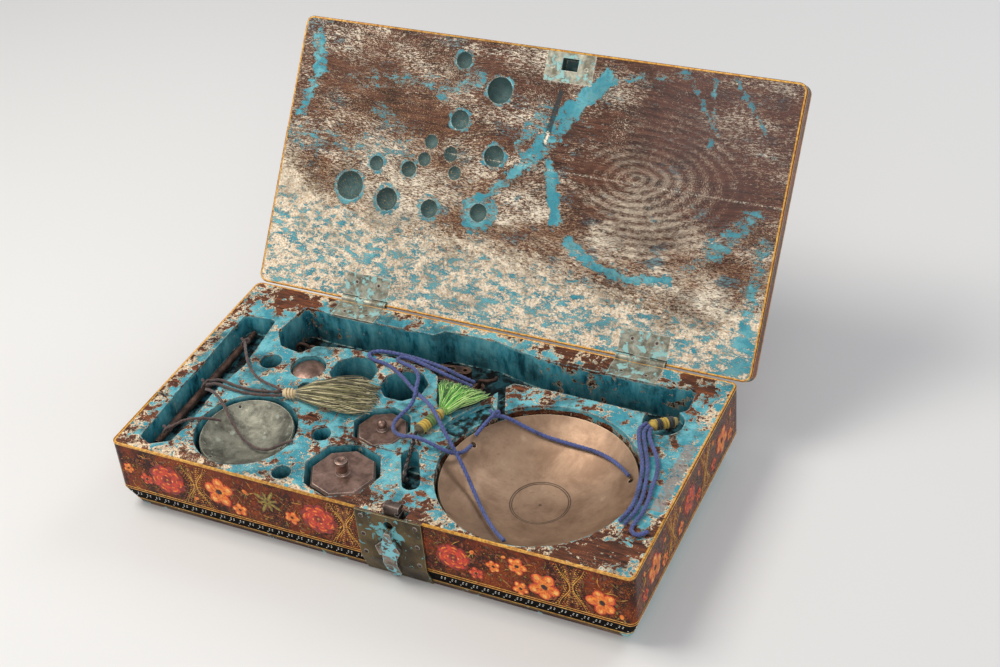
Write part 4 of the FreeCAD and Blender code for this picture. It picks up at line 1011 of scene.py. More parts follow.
@dataclass
class BalanceCords:
    """Every cord of the two balances, with the knot that joins two of them."""

    blue: float = 2.3
    brown: float = 1.8

    def cords(self) -> tuple[Cord, ...]:
        """The cords, each with its route in millimetres."""
        blue, brown = self.blue, self.brown
        pan, case, small = "large_pan_upper", "case", "small_pan_upper"
        return (
            Cord("cord_blue_front", ("blue_cord_front",), pan, blue, (
                (14.0, 36.0, 42.6), (7.0, 35.0, 45.2), (-3.0, 36.4, 47.6), (-19.0, 39.0, 47.8), (-36.0, 40.0, 47.6),
                (-47.2, 38.8, 47.6), (-51.4, 34.2, 47.6), (-46.6, 30.4, 47.6), (-36.0, 29.6, 47.6),
                (-25.0, 23.5, 47.6), (-12.5, 14.0, 47.8), (-3.0, 6.2, 50.8), (5.5, -1.2, 54.8), (14.5, -9.8, 55.2),
                (22.0, -17.4, 53.4), (28.5, -22.6, 49.8), (35.0, -26.6, 44.0), (41.5, -31.6, 37.8),
                (49.0, -38.8, 33.4), (58.0, -48.4, 32.0), (67.5, -58.0, 34.2), (74.6, -65.2, 37.8),
                (78.8, -69.4, 40.6),
            ), "object", "blue_cord", Twist.SILK),
            Cord("cord_blue_left", ("blue_cord_left",), pan, blue, (
                (14.0, 32.6, 42.4), (6.0, 31.6, 45.4), (-4.0, 32.4, 47.6), (-15.0, 35.0, 48.2), (-25.0, 36.4, 49.2),
                (-30.6, 34.6, 50.4), (-30.4, 30.4, 51.2), (-25.4, 28.4, 51.8), (-17.6, 26.2, 52.4),
                (-11.0, 19.8, 53.0), (-8.4, 11.0, 53.0), (-6.0, 2.2, 49.6), (-8.6, -6.0, 47.6), (-10.4, -13.0, 47.0),
                (-7.6, -20.0, 47.2), (-0.5, -24.4, 48.8), (8.6, -25.8, 52.6), (17.6, -26.0, 50.8),
                (25.4, -26.4, 48.4), (30.8, -23.4, 44.6), (33.6, -17.2, 42.2), (33.4, -10.6, 40.8),
            ), "object", "blue_cord", Twist.SILK),
            Cord("cord_blue_right", ("blue_cord_right", "blue_cord_rim"), pan, blue, (
                (33.2, -4.2, 42.6), (33.9, 0.2, 43.4), (35.2, 5.0, 44.6), (36.6, 9.4, 45.6), (39.8, 11.8, 45.6),
                (45.6, 13.4, 43.2), (54.5, 14.2, 38.9), (65.0, 14.0, 36.0), (79.5, 14.0, 34.9), (95.0, 12.0, 36.1),
                (107.4, 5.8, 38.2), (115.6, -1.2, 40.0), (119.6, -5.2, 41.2),
            ), "object", "blue_cord", Twist.SILK),
            Cord("cord_bundle_inner", ("blue_bundle_inner",), case, blue, (
                (116.5, 29.5, 47.3), (114.6, 25.6, 47.8), (115.2, 20.6, 47.8), (119.0, 12.0, 47.5),
                (123.4, 4.0, 47.5), (127.0, -4.6, 47.5), (129.4, -14.6, 47.5), (131.6, -25.0, 47.5),
                (131.9, -35.0, 47.3), (129.6, -43.6, 46.9),
            ), "bare", "blue_cord", Twist.SILK),
            Cord("cord_bundle_middle", ("blue_bundle_middle",), case, blue, (
                (118.4, 27.9, 47.3), (117.3, 24.0, 47.8), (118.6, 19.0, 47.8), (122.4, 11.6, 47.5),
                (126.4, 3.6, 47.5), (130.0, -4.8, 47.5), (132.4, -14.4, 47.5), (134.6, -25.0, 47.5),
                (135.0, -35.6, 47.3), (132.6, -44.8, 46.9),
            ), "bare", "blue_cord", Twist.SILK),
            Cord("cord_bundle_outer", ("blue_bundle_outer",), case, blue, (
                (120.3, 26.3, 47.3), (120.4, 22.2, 47.8), (123.0, 17.0, 47.8), (128.4, 9.6, 47.5),
                (133.0, 1.6, 47.5), (135.4, -6.4, 47.5), (136.0, -14.6, 47.5), (137.8, -24.6, 47.5),
                (138.6, -34.4, 47.3), (137.0, -42.0, 46.9), (136.8, -48.2, 46.9), (142.2, -50.6, 46.9),
                (145.2, -45.6, 46.9),
            ), "bare", "blue_cord", Twist.SILK),
            Cord("cord_brown_front", ("brown_cord_pair_front",), case, brown, (
                (-133.0, -13.2, 39.9), (-127.0, -14.8, 43.2), (-119.6, -16.8, 47.5), (-110.0, -18.6, 47.3),
                (-100.0, -19.0, 47.3), (-90.0, -17.6, 47.5), (-83.8, -16.5, 48.1), (-78.6, -15.7, 48.7),
            ), "object", "brown_cord", Twist.THONG),
            Cord("cord_brown_back", ("brown_cord_pair_back",), case, brown, (
                (-133.0, -9.6, 39.9), (-127.0, -11.2, 43.2), (-119.6, -13.2, 47.5), (-110.0, -15.0, 47.3),
                (-100.0, -15.6, 47.3), (-90.0, -14.4, 47.5), (-84.4, -13.4, 48.1), (-79.2, -12.8, 48.7),
            ), "object", "brown_cord", Twist.THONG),
            Cord("cord_brown_elbow", ("brown_cord_elbow",), case, brown, (
                (-131.6, 30.0, 40.4), (-125.4, 21.8, 43.8), (-118.6, 12.4, 47.6), (-111.5, 3.4, 47.3),
                (-102.0, -4.6, 47.5), (-92.0, -9.0, 48.8), (-85.2, -12.0, 51.0), (-79.2, -14.3, 51.5),
            ), "object", "brown_cord", Twist.THONG),
            Cord("cord_brown_pan", ("brown_cord_pan",), small, brown, (
                (-127.6, -17.8, 41.8), (-121.4, -21.8, 46.2), (-114.4, -25.8, 47.8), (-107.2, -30.6, 47.0),
                (-100.0, -36.6, 43.6), (-91.2, -42.8, 39.0), (-80.5, -48.0, 37.8), (-70.6, -50.6, 40.0),
                (-63.6, -50.4, 43.6), (-58.0, -48.6, 47.2), (-54.6, -45.0, 46.9),
            ), "bare", "brown_cord", Twist.THONG),
            Cord("cord_brown_stray", ("brown_cord_stray",), case, brown, (
                (-132.0, -53.8, 39.7), (-126.8, -52.2, 42.8), (-121.0, -50.0, 46.6), (-115.0, -47.2, 47.4),
                (-108.4, -44.0, 46.8), (-102.2, -41.2, 44.6),
            ), "bare", "brown_cord", Twist.THONG),
        )

    def knots(self) -> dict[str, tuple["Knot", ...]]:
        """The knots that go with a cord, by the cord's name."""
        return {
            "cord_blue_right": (
                Knot("knot_rim", (37.2, 10.8, 46.6), 1.35, 0.95, "large_pan_upper", "blue_cord", ("blue_cord_knot",)),
            ),
            "cord_brown_front": (Knot("knot_beam", (-131.4, -12.4, 41.2), 1.5, 0.85, "case", "brown_cord"),),
            "cord_brown_elbow": (Knot("knot_elbow", (-130.8, 28.8, 41.0), 1.3, 0.8, "case", "brown_cord"),),
            "cord_brown_stray": (Knot("knot_stray", (-131.0, -53.4, 40.6), 1.2, 0.8, "case", "brown_cord"),),
        }

    def build(self) -> None:
        """Makes the cords and their knots."""
        silk = ThreadFinish("blue_silk", (srgb(34, 43, 92), srgb(84, 98, 158))).build()
        thong = ThreadFinish("brown_thong", (srgb(46, 32, 28), srgb(98, 72, 62)), fibre=1.4).build()
        materials = {"blue_cord": silk, "brown_cord": thong}
        knots = self.knots()
        for cord in self.cords():
            tied = [knot.build(materials[knot.slot]) for knot in knots.get(cord.name, ())]
            cord.build(materials[cord.slot], tied)
            for knot in tied:
                crush(knot)


@dataclass(frozen=True)
class Knot:
    """An overhand knot pulled half tight, drawn as a closed three-leaved loop."""

    name: str
    place: Point
    size: float
    strand: float
    body: str
    slot: str
    nodes: tuple[str, ...] = ()

    def build(self, material: bpy.types.Material) -> bpy.types.Object:
        """Makes the knot.

        Args:
            material: Its cord's material.

        Returns:
            The knot's object.
        """
        path = []
        for i in range(73):
            t = 2 * math.pi * i / 72
            path.append(Vector(self.place) + self.size * Vector((
                math.sin(t) + 1.1 * math.sin(2 * t), math.cos(t) - 1.1 * math.cos(2 * t), -0.75 * math.sin(3 * t),
            )))
        bm = bmesh.new()
        sweep(bm, path, Ring.rope(12, self.strand, 3, 0.12), pitch=6.0)
        return piece(bm, self.name, material, self.body, self.nodes)


@dataclass(frozen=True)
class Winding:
    """A neck bound with thread: a core and turns of one thread round it."""

    name: str
    nodes: tuple[str, ...]
    slot: str
    start: Point
    along: Point
    length: float
    radius: float
    turns: int
    finish: ThreadFinish
    thread: float = 1.2

    def build(self) -> bpy.types.Object:
        """Makes the core and the winding as one piece."""
        axis = Vector(self.along).normalized()
        start = Vector(self.start)
        turn = axis.to_track_quat("Z", "Y").to_matrix().to_4x4()
        core = self.radius - self.thread * 0.8
        bm = bmesh.new()
        middle = Matrix.Translation(start + axis * self.length / 2) @ turn
        bmesh.ops.create_cone(
            bm, cap_ends=True, segments=24, radius1=core, radius2=core, depth=self.length, matrix=middle)
        pitch = (self.length - 2 * self.thread) / self.turns
        steps = 20
        ring = bmesh.ops.create_circle(bm, cap_ends=False, segments=8, radius=self.thread / 2)["verts"]
        out = self.radius - self.thread / 2
        place = Matrix.Translation(start + axis * self.thread) @ turn @ Matrix.Translation((out, 0, 0))
        bmesh.ops.transform(bm, matrix=place @ Matrix.Rotation(math.pi / 2, 4, "X"), verts=ring)
        edges = list({edge for vert in ring for edge in vert.link_edges})
        made = bmesh.ops.spin(
            bm, geom=ring + edges, cent=start, axis=axis, dvec=axis * (pitch / steps),
            angle=2 * math.pi * self.turns, steps=steps * self.turns)["geom_last"]
        bmesh.ops.contextual_create(bm, geom=edges)
        bmesh.ops.contextual_create(bm, geom=[item for item in made if isinstance(item, bmesh.types.BMEdge)])
        return crush(piece(bm, self.name, self.finish.build(), "case", self.nodes))


@dataclass(frozen=True)
class Fringe:
    """A tassel's loose threads, from its neck out to a fan that lies on the tray.

    Each station is a centre, a half width and a half height at one share of the way.
    """

    name: str
    node: str
    slot: str
    stations: tuple[tuple[float, float, float, float], ...]
    base: float
    count: int
    thread: float
    seed: int
    finishes: tuple[ThreadFinish, ...]

    def at(self, share: float, across: float, high: float) -> Vector:
        """A point of the tuft.

        Args:
            share: From 0 at the neck to 1 at the fan's end.
            across: From -1 to 1 across the fan.
            high: From -1 to 1 through its thickness.

        Returns:
            The point in millimetres.
        """
        span = share * (len(self.stations) - 1)
        i = min(int(span), len(self.stations) - 2)
        t = span - i
        low, up = self.stations[i], self.stations[i + 1]
        x, y, half, rise = (a + (b - a) * t for a, b in zip(low, up))
        first, last = Vector(self.stations[0][:2]), Vector(self.stations[-1][:2])
        way = (last - first).normalized()
        return Vector((x - way.y * across * half, y + way.x * across * half, self.base + rise * (1 + high)))

    def build(self) -> list[bpy.types.Object]:
        """Makes the threads, as one piece for each shade."""
        rng = random.Random(self.seed)
        made = []
        for number, finish in enumerate(self.finishes):
            gathered = Gathering()
            for _ in range(self.count // len(self.finishes)):
                radius, angle = math.sqrt(rng.random()) * 0.93, rng.uniform(0, 2 * math.pi)
                across, high = radius * math.cos(angle), radius * math.sin(angle)
                reach = rng.uniform(0.8, 1.0) if rng.random() < 0.85 else rng.uniform(1.0, 1.07)
                sway, lift = rng.uniform(-0.34, 0.34), rng.uniform(-0.3, 0.25)
                phase, curl = rng.uniform(0, 6.3), rng.uniform(3.0, 9.0)
                path = []
                for step in range(11):
                    t = step / 10
                    drift = t * t * sway + 0.13 * t * math.sin(phase + curl * t)
                    side = max(-1.06, min(1.06, across + drift))
                    rise = max(-0.92, min(1.05, high + t * t * lift + 0.12 * t * math.cos(phase + curl * t)))
                    path.append(self.at(t * reach, side, rise))
                sweep(gathered.open(), path, Ring.oval(4, self.thread, self.thread * 0.8), size=lambda t: 1.0 - 0.45 * t * t)
            name = f"{self.name}_{number + 1}"
            nodes = (self.node,) if number == 0 else ()
            made.append(crush(piece(gathered.close(), name, finish.build(), "case", nodes)))
        return made


@dataclass
class Tassels:
    """The olive tassel, the green tassel with its wire hook, and the cords' bound end."""

    rest: float = 46.3
    hook_route: tuple[Point, ...] = (
        (6.4, -19.8, 49.6), (7.4, -24.4, 49.0), (9.4, -31.6, 48.0), (12.0, -41.0, 47.8), (14.0, -48.6, 47.8),
        (15.4, -52.4, 45.6), (15.4, -50.2, 42.4), (14.4, -46.8, 41.8),
    )

    def windings(self) -> tuple[Winding, ...]:
        """The three bound necks."""
        cream = (srgb(196, 168, 120), srgb(226, 204, 164))
        gold, leaf, night = srgb(196, 164, 62), srgb(70, 128, 66), srgb(30, 34, 44)
        green_start, green_way = (6.6, -18.6, 49.6), Vector((5.6, 19.4, 0.0)).normalized() * 19.0
        bead_start, bead_way = (118.8, 28.4, 47.0), Vector((10.4, 12.2, -3.4)).normalized() * 15.6
        return (
            Winding("olive_neck", ("olive_tassel_binding", "olive_tassel_winding"), "cream_thread",
                    (-78.0, -14.1, 49.4), (7.0, 1.9, 0.0), 7.6, 3.1, 3, ThreadFinish("cream_winding", cream)),
            Winding("green_neck", ("green_tassel_binding", "green_tassel_winding"), "yellow_thread",
                    green_start, (5.6, 19.4, 0.0), 19.0, 3.3, 9,
                    ThreadFinish("green_winding", (srgb(150, 126, 58), srgb(214, 190, 96)), green_start,
                                 tuple(green_way), ((0.0, night), (0.1, gold), (0.4, night), (0.44, leaf), (0.66, night), (0.7, gold)))),
            Winding("bundle_neck", ("bundle_binding", "bundle_winding"), "yellow_thread",
                    bead_start, (10.4, 12.2, -3.4), 15.6, 3.2, 7,
                    ThreadFinish("bead_winding", (srgb(60, 54, 40), srgb(110, 100, 60)), bead_start,
                                 tuple(bead_way), ((0.0, gold), (0.2, night), (0.42, gold), (0.62, night), (0.84, gold)))),
        )

    def fringes(self) -> tuple[Fringe, ...]:
        """The two tufts."""
        return (
            Fringe("olive_fringe", "olive_tassel_fringe", "olive_thread", (
                (-70.4, -12.0, 3.2, 3.0), (-62.0, -9.8, 9.0, 4.4), (-50.0, -6.6, 13.0, 4.6), (-38.0, -3.4, 13.6, 3.8),
                (-29.0, -1.0, 11.0, 2.4),
            ), self.rest, 480, 0.62, 5, (
                ThreadFinish("olive_thread_light", (srgb(196, 182, 136), srgb(226, 214, 172))),
                ThreadFinish("olive_thread_mid", (srgb(140, 132, 84), srgb(170, 162, 112))),
                ThreadFinish("olive_thread_dark", (srgb(70, 66, 40), srgb(104, 98, 64))),
            )),
            Fringe("green_fringe", "green_tassel_fringe", "green_thread", (
                (12.4, 1.6, 3.2, 3.0), (13.2, 8.6, 7.4, 4.0), (14.2, 17.0, 12.6, 3.8), (15.0, 24.0, 14.8, 2.2),
            ), self.rest, 420, 0.6, 9, (
                ThreadFinish("green_thread_light", (srgb(172, 218, 116), srgb(208, 238, 150))),
                ThreadFinish("green_thread_mid", (srgb(100, 174, 60), srgb(134, 200, 78))),
                ThreadFinish("green_thread_dark", (srgb(34, 92, 30), srgb(66, 132, 44))),
            )),
        )

    def hook(self) -> bpy.types.Object:
        """The hook of two wires twisted together, on the tray by the lock."""
        line = Cord("hook", (), "case", 2.6, self.hook_route, "bare", "iron", Twist.THONG).centreline()
        bm = bmesh.new()
        sweep(bm, [point / MM for point in line], Ring.rope(12, 1.32, 2, 0.2), pitch=9.0)
        wire = MetalFinish("hook_wire", srgb(92, 84, 82), srgb(44, 38, 36), srgb(176, 172, 170), rough=0.34, metal=0.9)
        return crush(piece(bm, "hook_wire", wire.build(), "case", ("tassel_hook",)))

    def build(self) -> None:
        """Makes the tassels."""
        for winding in self.windings():
            winding.build()
        for fringe in self.fringes():
            fringe.build()
        self.hook()


@dataclass(frozen=True)
class Plane:
    """A flat side to paint on: u runs along it, v up it, and w out of it, in millimetres."""

    origin: Point
    along: Point
    up: Point

    def matrix(self) -> Matrix:
        """The turn and move from the plane's own axes."""
        u, v = Vector(self.along).normalized(), Vector(self.up).normalized()
        made = Matrix((u, v, u.cross(v))).transposed().to_4x4()
        made.translation = Vector(self.origin)
        return made


class Ink(Enum):
    """The colours of the painted ornament."""

    GOLD = InkFinish("ink_gold", srgb(176, 112, 34), srgb(232, 178, 78))
    ORANGE = InkFinish("ink_orange", srgb(206, 82, 22), srgb(244, 142, 44))
    RED = InkFinish("ink_red", srgb(158, 34, 20), srgb(216, 66, 34))
    LEAF = InkFinish("ink_leaf", srgb(84, 74, 28), srgb(146, 128, 48))
    WHITE = InkFinish("ink_white", srgb(232, 228, 214), srgb(250, 248, 240), wear=0.12)
    DARK = InkFinish("ink_dark", srgb(28, 14, 10), srgb(54, 24, 16))
    AMBER = InkFinish("ink_amber", srgb(232, 140, 44), srgb(252, 192, 104))
    RUSSET = InkFinish("ink_russet", srgb(96, 44, 20), srgb(150, 78, 34))
    CRIMSON = InkFinish("ink_crimson", srgb(104, 20, 16), srgb(158, 38, 24))


class Ornament:
    """Painted shapes, gathered by colour until they are made into pieces."""

    def __init__(self, name: str, body: str, slot: str, turn: Matrix | None = None) -> None:
        """Starts an empty set.

        Args:
            name: The start of the pieces' names.
            body: The body that they ride on.
            slot: The record's slot; kept but not used.
            turn: A move of everything painted, or None.
        """
        self.name, self.body, self.slot = name, body, slot
        self.turn = turn or Matrix.Identity(4)
        self.inks: dict[Ink, Gathering] = {}

    def ink(self, ink: Ink) -> bmesh.types.BMesh:
        """The mesh that takes the next shape of one colour."""
        if ink not in self.inks:
            self.inks[ink] = Gathering()
        return self.inks[ink].open()

    def dab(
        self, ink: Ink, plane: Plane, u: float, v: float, length: float, width: float, angle: float = 0.0,
        high: float = 0.16, fine: int = 2,
    ) -> None:
        """One low oval dab of paint.

        Args:
            ink: Its colour.
            plane: The side that it is on.
            u: Its middle along the side.
            v: Its middle up the side.
            length: Its length.
            width: Its width.
            angle: Its turn in radians.
            high: How far it stands out.
            fine: 1 for a few faces and 2 for a rounder dab.
        """
        matrix = self.turn @ plane.matrix() @ Matrix.Translation((u, v, 0.0)) @ Matrix.Rotation(angle, 4, "Z")
        matrix = matrix @ Matrix.Diagonal((length / 2, width / 2, high, 1.0))
        bmesh.ops.create_icosphere(self.ink(ink), subdivisions=fine, radius=1.0, matrix=matrix)

    def stroke(self, ink: Ink, plane: Plane, points: Sequence[tuple[float, float]], width: float, high: float = 0.2) -> None:
        """A brush line through some points of a side.

        Args:
            ink: Its colour.
            plane: The side.
            points: Its points along and up the side.
            width: Its width.
            high: Twice how far it stands out.
        """
        matrix = self.turn @ plane.matrix()
        held = [Vector((u, v, 0.0)) for u, v in points]
        path = []
        for i in range(len(held) - 1):
            a, b, c, d = held[max(i - 1, 0)], held[i], held[i + 1], held[min(i + 2, len(held) - 1)]
            for k in range(6):
                t = k / 6
                path.append(0.5 * (2 * b + (c - a) * t + (2 * a - 5 * b + 4 * c - d) * t * t + (3 * b - a - 3 * c + d) * t ** 3))
        path.append(held[-1])
        out = (matrix.to_3x3() @ UP).normalized()
        sweep(self.ink(ink), [matrix @ point for point in path], Ring.oval(6, high, width), up=out,
              size=lambda t: 0.35 + 0.65 * math.sin(math.pi * min(max(t, 0.02), 0.98)))

    def line(self, ink: Ink, path: Sequence[Vector], width: float, up: Vector, high: float = 0.24) -> None:
        """A plain line along a path in space, as wide along up as it says."""
        sweep(self.ink(ink), [self.turn @ point for point in path], Ring.oval(6, width, high),
              up=(self.turn.to_3x3() @ up).normalized())

    def flower(self, plane: Plane, u: float, v: float, size: float, ink: Ink, turn: float, petals: int = 5) -> None:
        """An open flower: shaded petals with a bright tip, a dark eye and gold stamens."""
        under, over = (Ink.CRIMSON, Ink.ORANGE) if ink is Ink.RED else (Ink.RED, Ink.AMBER)
        for i in range(petals):
            angle = turn + 2 * math.pi * i / petals
            bend = 0.12 * math.sin(5.0 * turn + 2.4 * i)
            long = size * (0.5 + 0.06 * math.sin(3.0 * turn + 1.7 * i))
            cu, cv = math.cos(angle + bend), math.sin(angle + bend)
            self.dab(under, plane, u + 0.29 * size * cu, v + 0.29 * size * cv, long * 1.06, size * 0.46, angle, 0.12)
            self.dab(ink, plane, u + 0.3 * size * cu, v + 0.3 * size * cv, long * 0.94, size * 0.38, angle + bend, 0.2)
            self.dab(over, plane, u + 0.37 * size * cu, v + 0.37 * size * cv, long * 0.46, size * 0.2, angle + 0.5, 0.26)
            self.stroke(Ink.RED, plane, [
                (u + 0.14 * size * cu, v + 0.14 * size * cv), (u + 0.3 * size * cu, v + 0.3 * size * cv),
                (u + 0.42 * size * math.cos(angle), v + 0.42 * size * math.sin(angle))], size * 0.035, 0.58)
        self.dab(Ink.DARK, plane, u, v, size * 0.24, size * 0.2, turn, 0.34)
        for i in range(petals + 2):
            angle = turn + 2 * math.pi * (i + 0.5) / (petals + 2)
            self.dab(Ink.GOLD, plane, u + size * 0.14 * math.cos(angle), v + size * 0.14 * math.sin(angle),
                     size * 0.07, size * 0.05, angle, 0.38, 1)

    def rose(self, plane: Plane, u: float, v: float, size: float, turn: float) -> None:
        """A full red rose: petals in three rows that turn round one another, edged with orange."""
        for count, reach, long, wide, ink, high in (
            (8, 0.36, 0.46, 0.34, Ink.CRIMSON, 0.14), (7, 0.33, 0.42, 0.28, Ink.RED, 0.2),
            (6, 0.21, 0.34, 0.2, Ink.RED, 0.27), (4, 0.1, 0.22, 0.13, Ink.CRIMSON, 0.33),
        ):
            for i in range(count):
                angle = turn * (1 + reach) + 2 * math.pi * i / count
                place = (u + size * reach * math.cos(angle), v + size * 0.88 * reach * math.sin(angle))
                self.dab(ink, plane, *place, size * long, size * wide, angle + 0.9, high)
        for ring, reach in ((7, 0.4), (6, 0.27), (4, 0.14)):
            for i in range(ring):
                angle = turn * (1 + reach) + 2 * math.pi * (i + 0.4) / ring
                arc = [
                    (u + size * r * math.cos(angle + a), v + size * 0.88 * r * math.sin(angle + a))
                    for r, a in ((reach, 0.0), (reach + 0.03, 0.3), (reach + 0.01, 0.62))
                ]
                self.stroke(Ink.ORANGE if ring > 4 else Ink.AMBER, plane, arc, size * 0.06, 0.72)
        self.dab(Ink.GOLD, plane, u, v, size * 0.1, size * 0.08, turn, 0.42, 1)

    def bud(self, plane: Plane, u: float, v: float, size: float, ink: Ink, turn: float) -> None:
        """A closed bud with two leaves."""
        self.dab(ink, plane, u, v, size, size * 0.7, turn)
        self.dab(Ink.GOLD, plane, u + size * 0.2 * math.cos(turn), v + size * 0.2 * math.sin(turn), size * 0.5, size * 0.16, turn, 0.28, 1)
        for lean in (-0.7, 0.7):
            angle = turn + math.pi + lean
            self.dab(Ink.LEAF, plane, u + size * 0.7 * math.cos(angle), v + size * 0.7 * math.sin(angle), size * 0.8, size * 0.24, angle)

    def spray(self, plane: Plane, u: float, v: float, size: float, turn: float, leaves: int = 6) -> None:
        """A star of narrow leaves with gold veins."""
        for i in range(leaves):
            angle = turn + 2 * math.pi * i / leaves
            long = size * (0.5 if i % 2 else 0.38)
            cu, cv = u + long * 0.55 * math.cos(angle), v + long * 0.55 * math.sin(angle)
            self.dab(Ink.LEAF, plane, cu, cv, long, long * 0.26, angle, 0.14)
            self.dab(Ink.GOLD, plane, cu, cv, long * 0.7, long * 0.05, angle, 0.22, 1)

    def strapwork(self, plane: Plane, u: float, low: float, high: float, half: float) -> None:
        """Two gold lines that meet back to back between two panels, with small scrolls between them."""
        rise = high - low
        for side in (-1, 1):
            points = [(u + side * half * w, low + rise * h) for w, h in (
                (1.0, 0.0), (0.75, 0.16), (0.42, 0.3), (0.16, 0.42), (0.12, 0.5), (0.16, 0.58), (0.42, 0.7), (0.75, 0.84), (1.0, 1.0))]
            self.stroke(Ink.GOLD, plane, points, 0.62, 0.3)
            inner = [(a - side * 1.1, b) for a, b in points[1:4]]
            self.stroke(Ink.GOLD, plane, inner, 0.4, 0.24)
            inner = [(a - side * 1.1, b) for a, b in points[5:8]]
            self.stroke(Ink.GOLD, plane, inner, 0.4, 0.24)
        steps = 18
        for i in range(steps):
            share = (i + 0.5) / steps
            wide = half * (0.12 + 0.88 * abs(2 * share - 1) ** 1.4)
            v = low + rise * share
            for side in (-1, 1):
                lean = math.pi / 2 + side * (0.7 if i % 2 else 1.3)
                self.dab(Ink.GOLD, plane, u + side * (wide + 1.7), v, 1.7, 0.45, lean, 0.16, 1)
                self.dab(Ink.GOLD, plane, u + side * wide * 0.45, v, 1.5, 0.5, -lean, 0.15, 1)
                self.dab(Ink.RUSSET, plane, u + side * (wide + 3.4), v, 2.0, 0.8, lean, 0.13, 1)
                self.dab(Ink.GOLD, plane, u + side * (wide * 0.75), v + 0.5, 1.1, 0.4, lean + 0.9, 0.15, 1)
                self.dab(Ink.RUSSET, plane, u + side * wide * 0.3, v, 2.6, 1.1, -lean, 0.1, 1)
        for end, way in ((low + rise * 0.16, 1), (high - rise * 0.16, -1)):
            for side in (-1, 0, 1):
                self.dab(Ink.GOLD, plane, u + side * half * 0.34, end - way * abs(side) * 0.8, 2.2, 0.7, math.pi / 2 + side * 0.6, 0.16, 1)

    def vine(self, rng: random.Random, plane: Plane, u0: float, u1: float, low: float, high: float) -> None:
        """Thin gold tendrils, leaves and dots that fill the ground between flowers."""
        count = int((u1 - u0) / 3.6)
        for _ in range(count):
            u, v, angle = rng.uniform(u0 + 2, u1 - 2), rng.uniform(low + 2, high - 2), rng.uniform(0, 6.3)
            bend = rng.uniform(-0.9, 0.9)
            points = [(u, v)]
            for k in range(3):
                angle += bend * 0.5
                last = points[-1]
                points.append((
                    min(max(last[0] + 2.1 * math.cos(angle), u0), u1), min(max(last[1] + 2.1 * math.sin(angle), low + 0.6), high - 0.6)))
            self.stroke(Ink.GOLD if rng.random() < 0.6 else Ink.LEAF, plane, points, 0.42, 0.2)
        for _ in range(count * 4):
            u, v, angle = rng.uniform(u0 + 2, u1 - 2), rng.uniform(low + 2, high - 2), rng.uniform(0, 6.3)
            long = rng.uniform(2.0, 4.6)
            self.dab(Ink.RUSSET, plane, u, v, long, long * rng.uniform(0.28, 0.5), angle, 0.09, 1)
        for _ in range(count * 5):
            u, v = rng.uniform(u0 + 1.5, u1 - 1.5), rng.uniform(low + 1.5, high - 1.5)
            ink = rng.choice((Ink.LEAF, Ink.GOLD, Ink.GOLD, Ink.ORANGE))
            long = rng.uniform(1.0, 2.8) if ink is Ink.LEAF else rng.uniform(0.4, 1.1)
            self.dab(ink, plane, u, v, long, long * rng.uniform(0.3, 0.6), rng.uniform(0, 6.3), 0.13, 1)

    def build(self) -> None:
        """Makes one piece of each colour."""
        for ink, gathered in self.inks.items():
            piece(gathered.close(), f"{self.name}_{ink.name.lower()}", ink_material(ink), self.body)


def ink_material(ink: Ink) -> bpy.types.Material:
    """The material of an ink, made once."""
    return bpy.data.materials.get(ink.value.name) or ink.value.build()


def loop(x0: float, x1: float, y0: float, y1: float, corner: float, z: float, out: float = 0.0) -> list[Vector]:
    """A rounded rectangle's points, anticlockwise from its front right end, grown by out."""
    points = []
    radius = corner + out
    for cx, cy, turn in ((x1, y0, -90), (x1, y1, 0), (x0, y1, 90), (x0, y0, 180)):
        cx += -corner if cx > (x0 + x1) / 2 else corner
        cy += -corner if cy > (y0 + y1) / 2 else corner
        for step in range(7):
            a = math.radians(turn + 15 * step)
            points.append(Vector((cx + radius * math.cos(a), cy + radius * math.sin(a), z)))
    return points


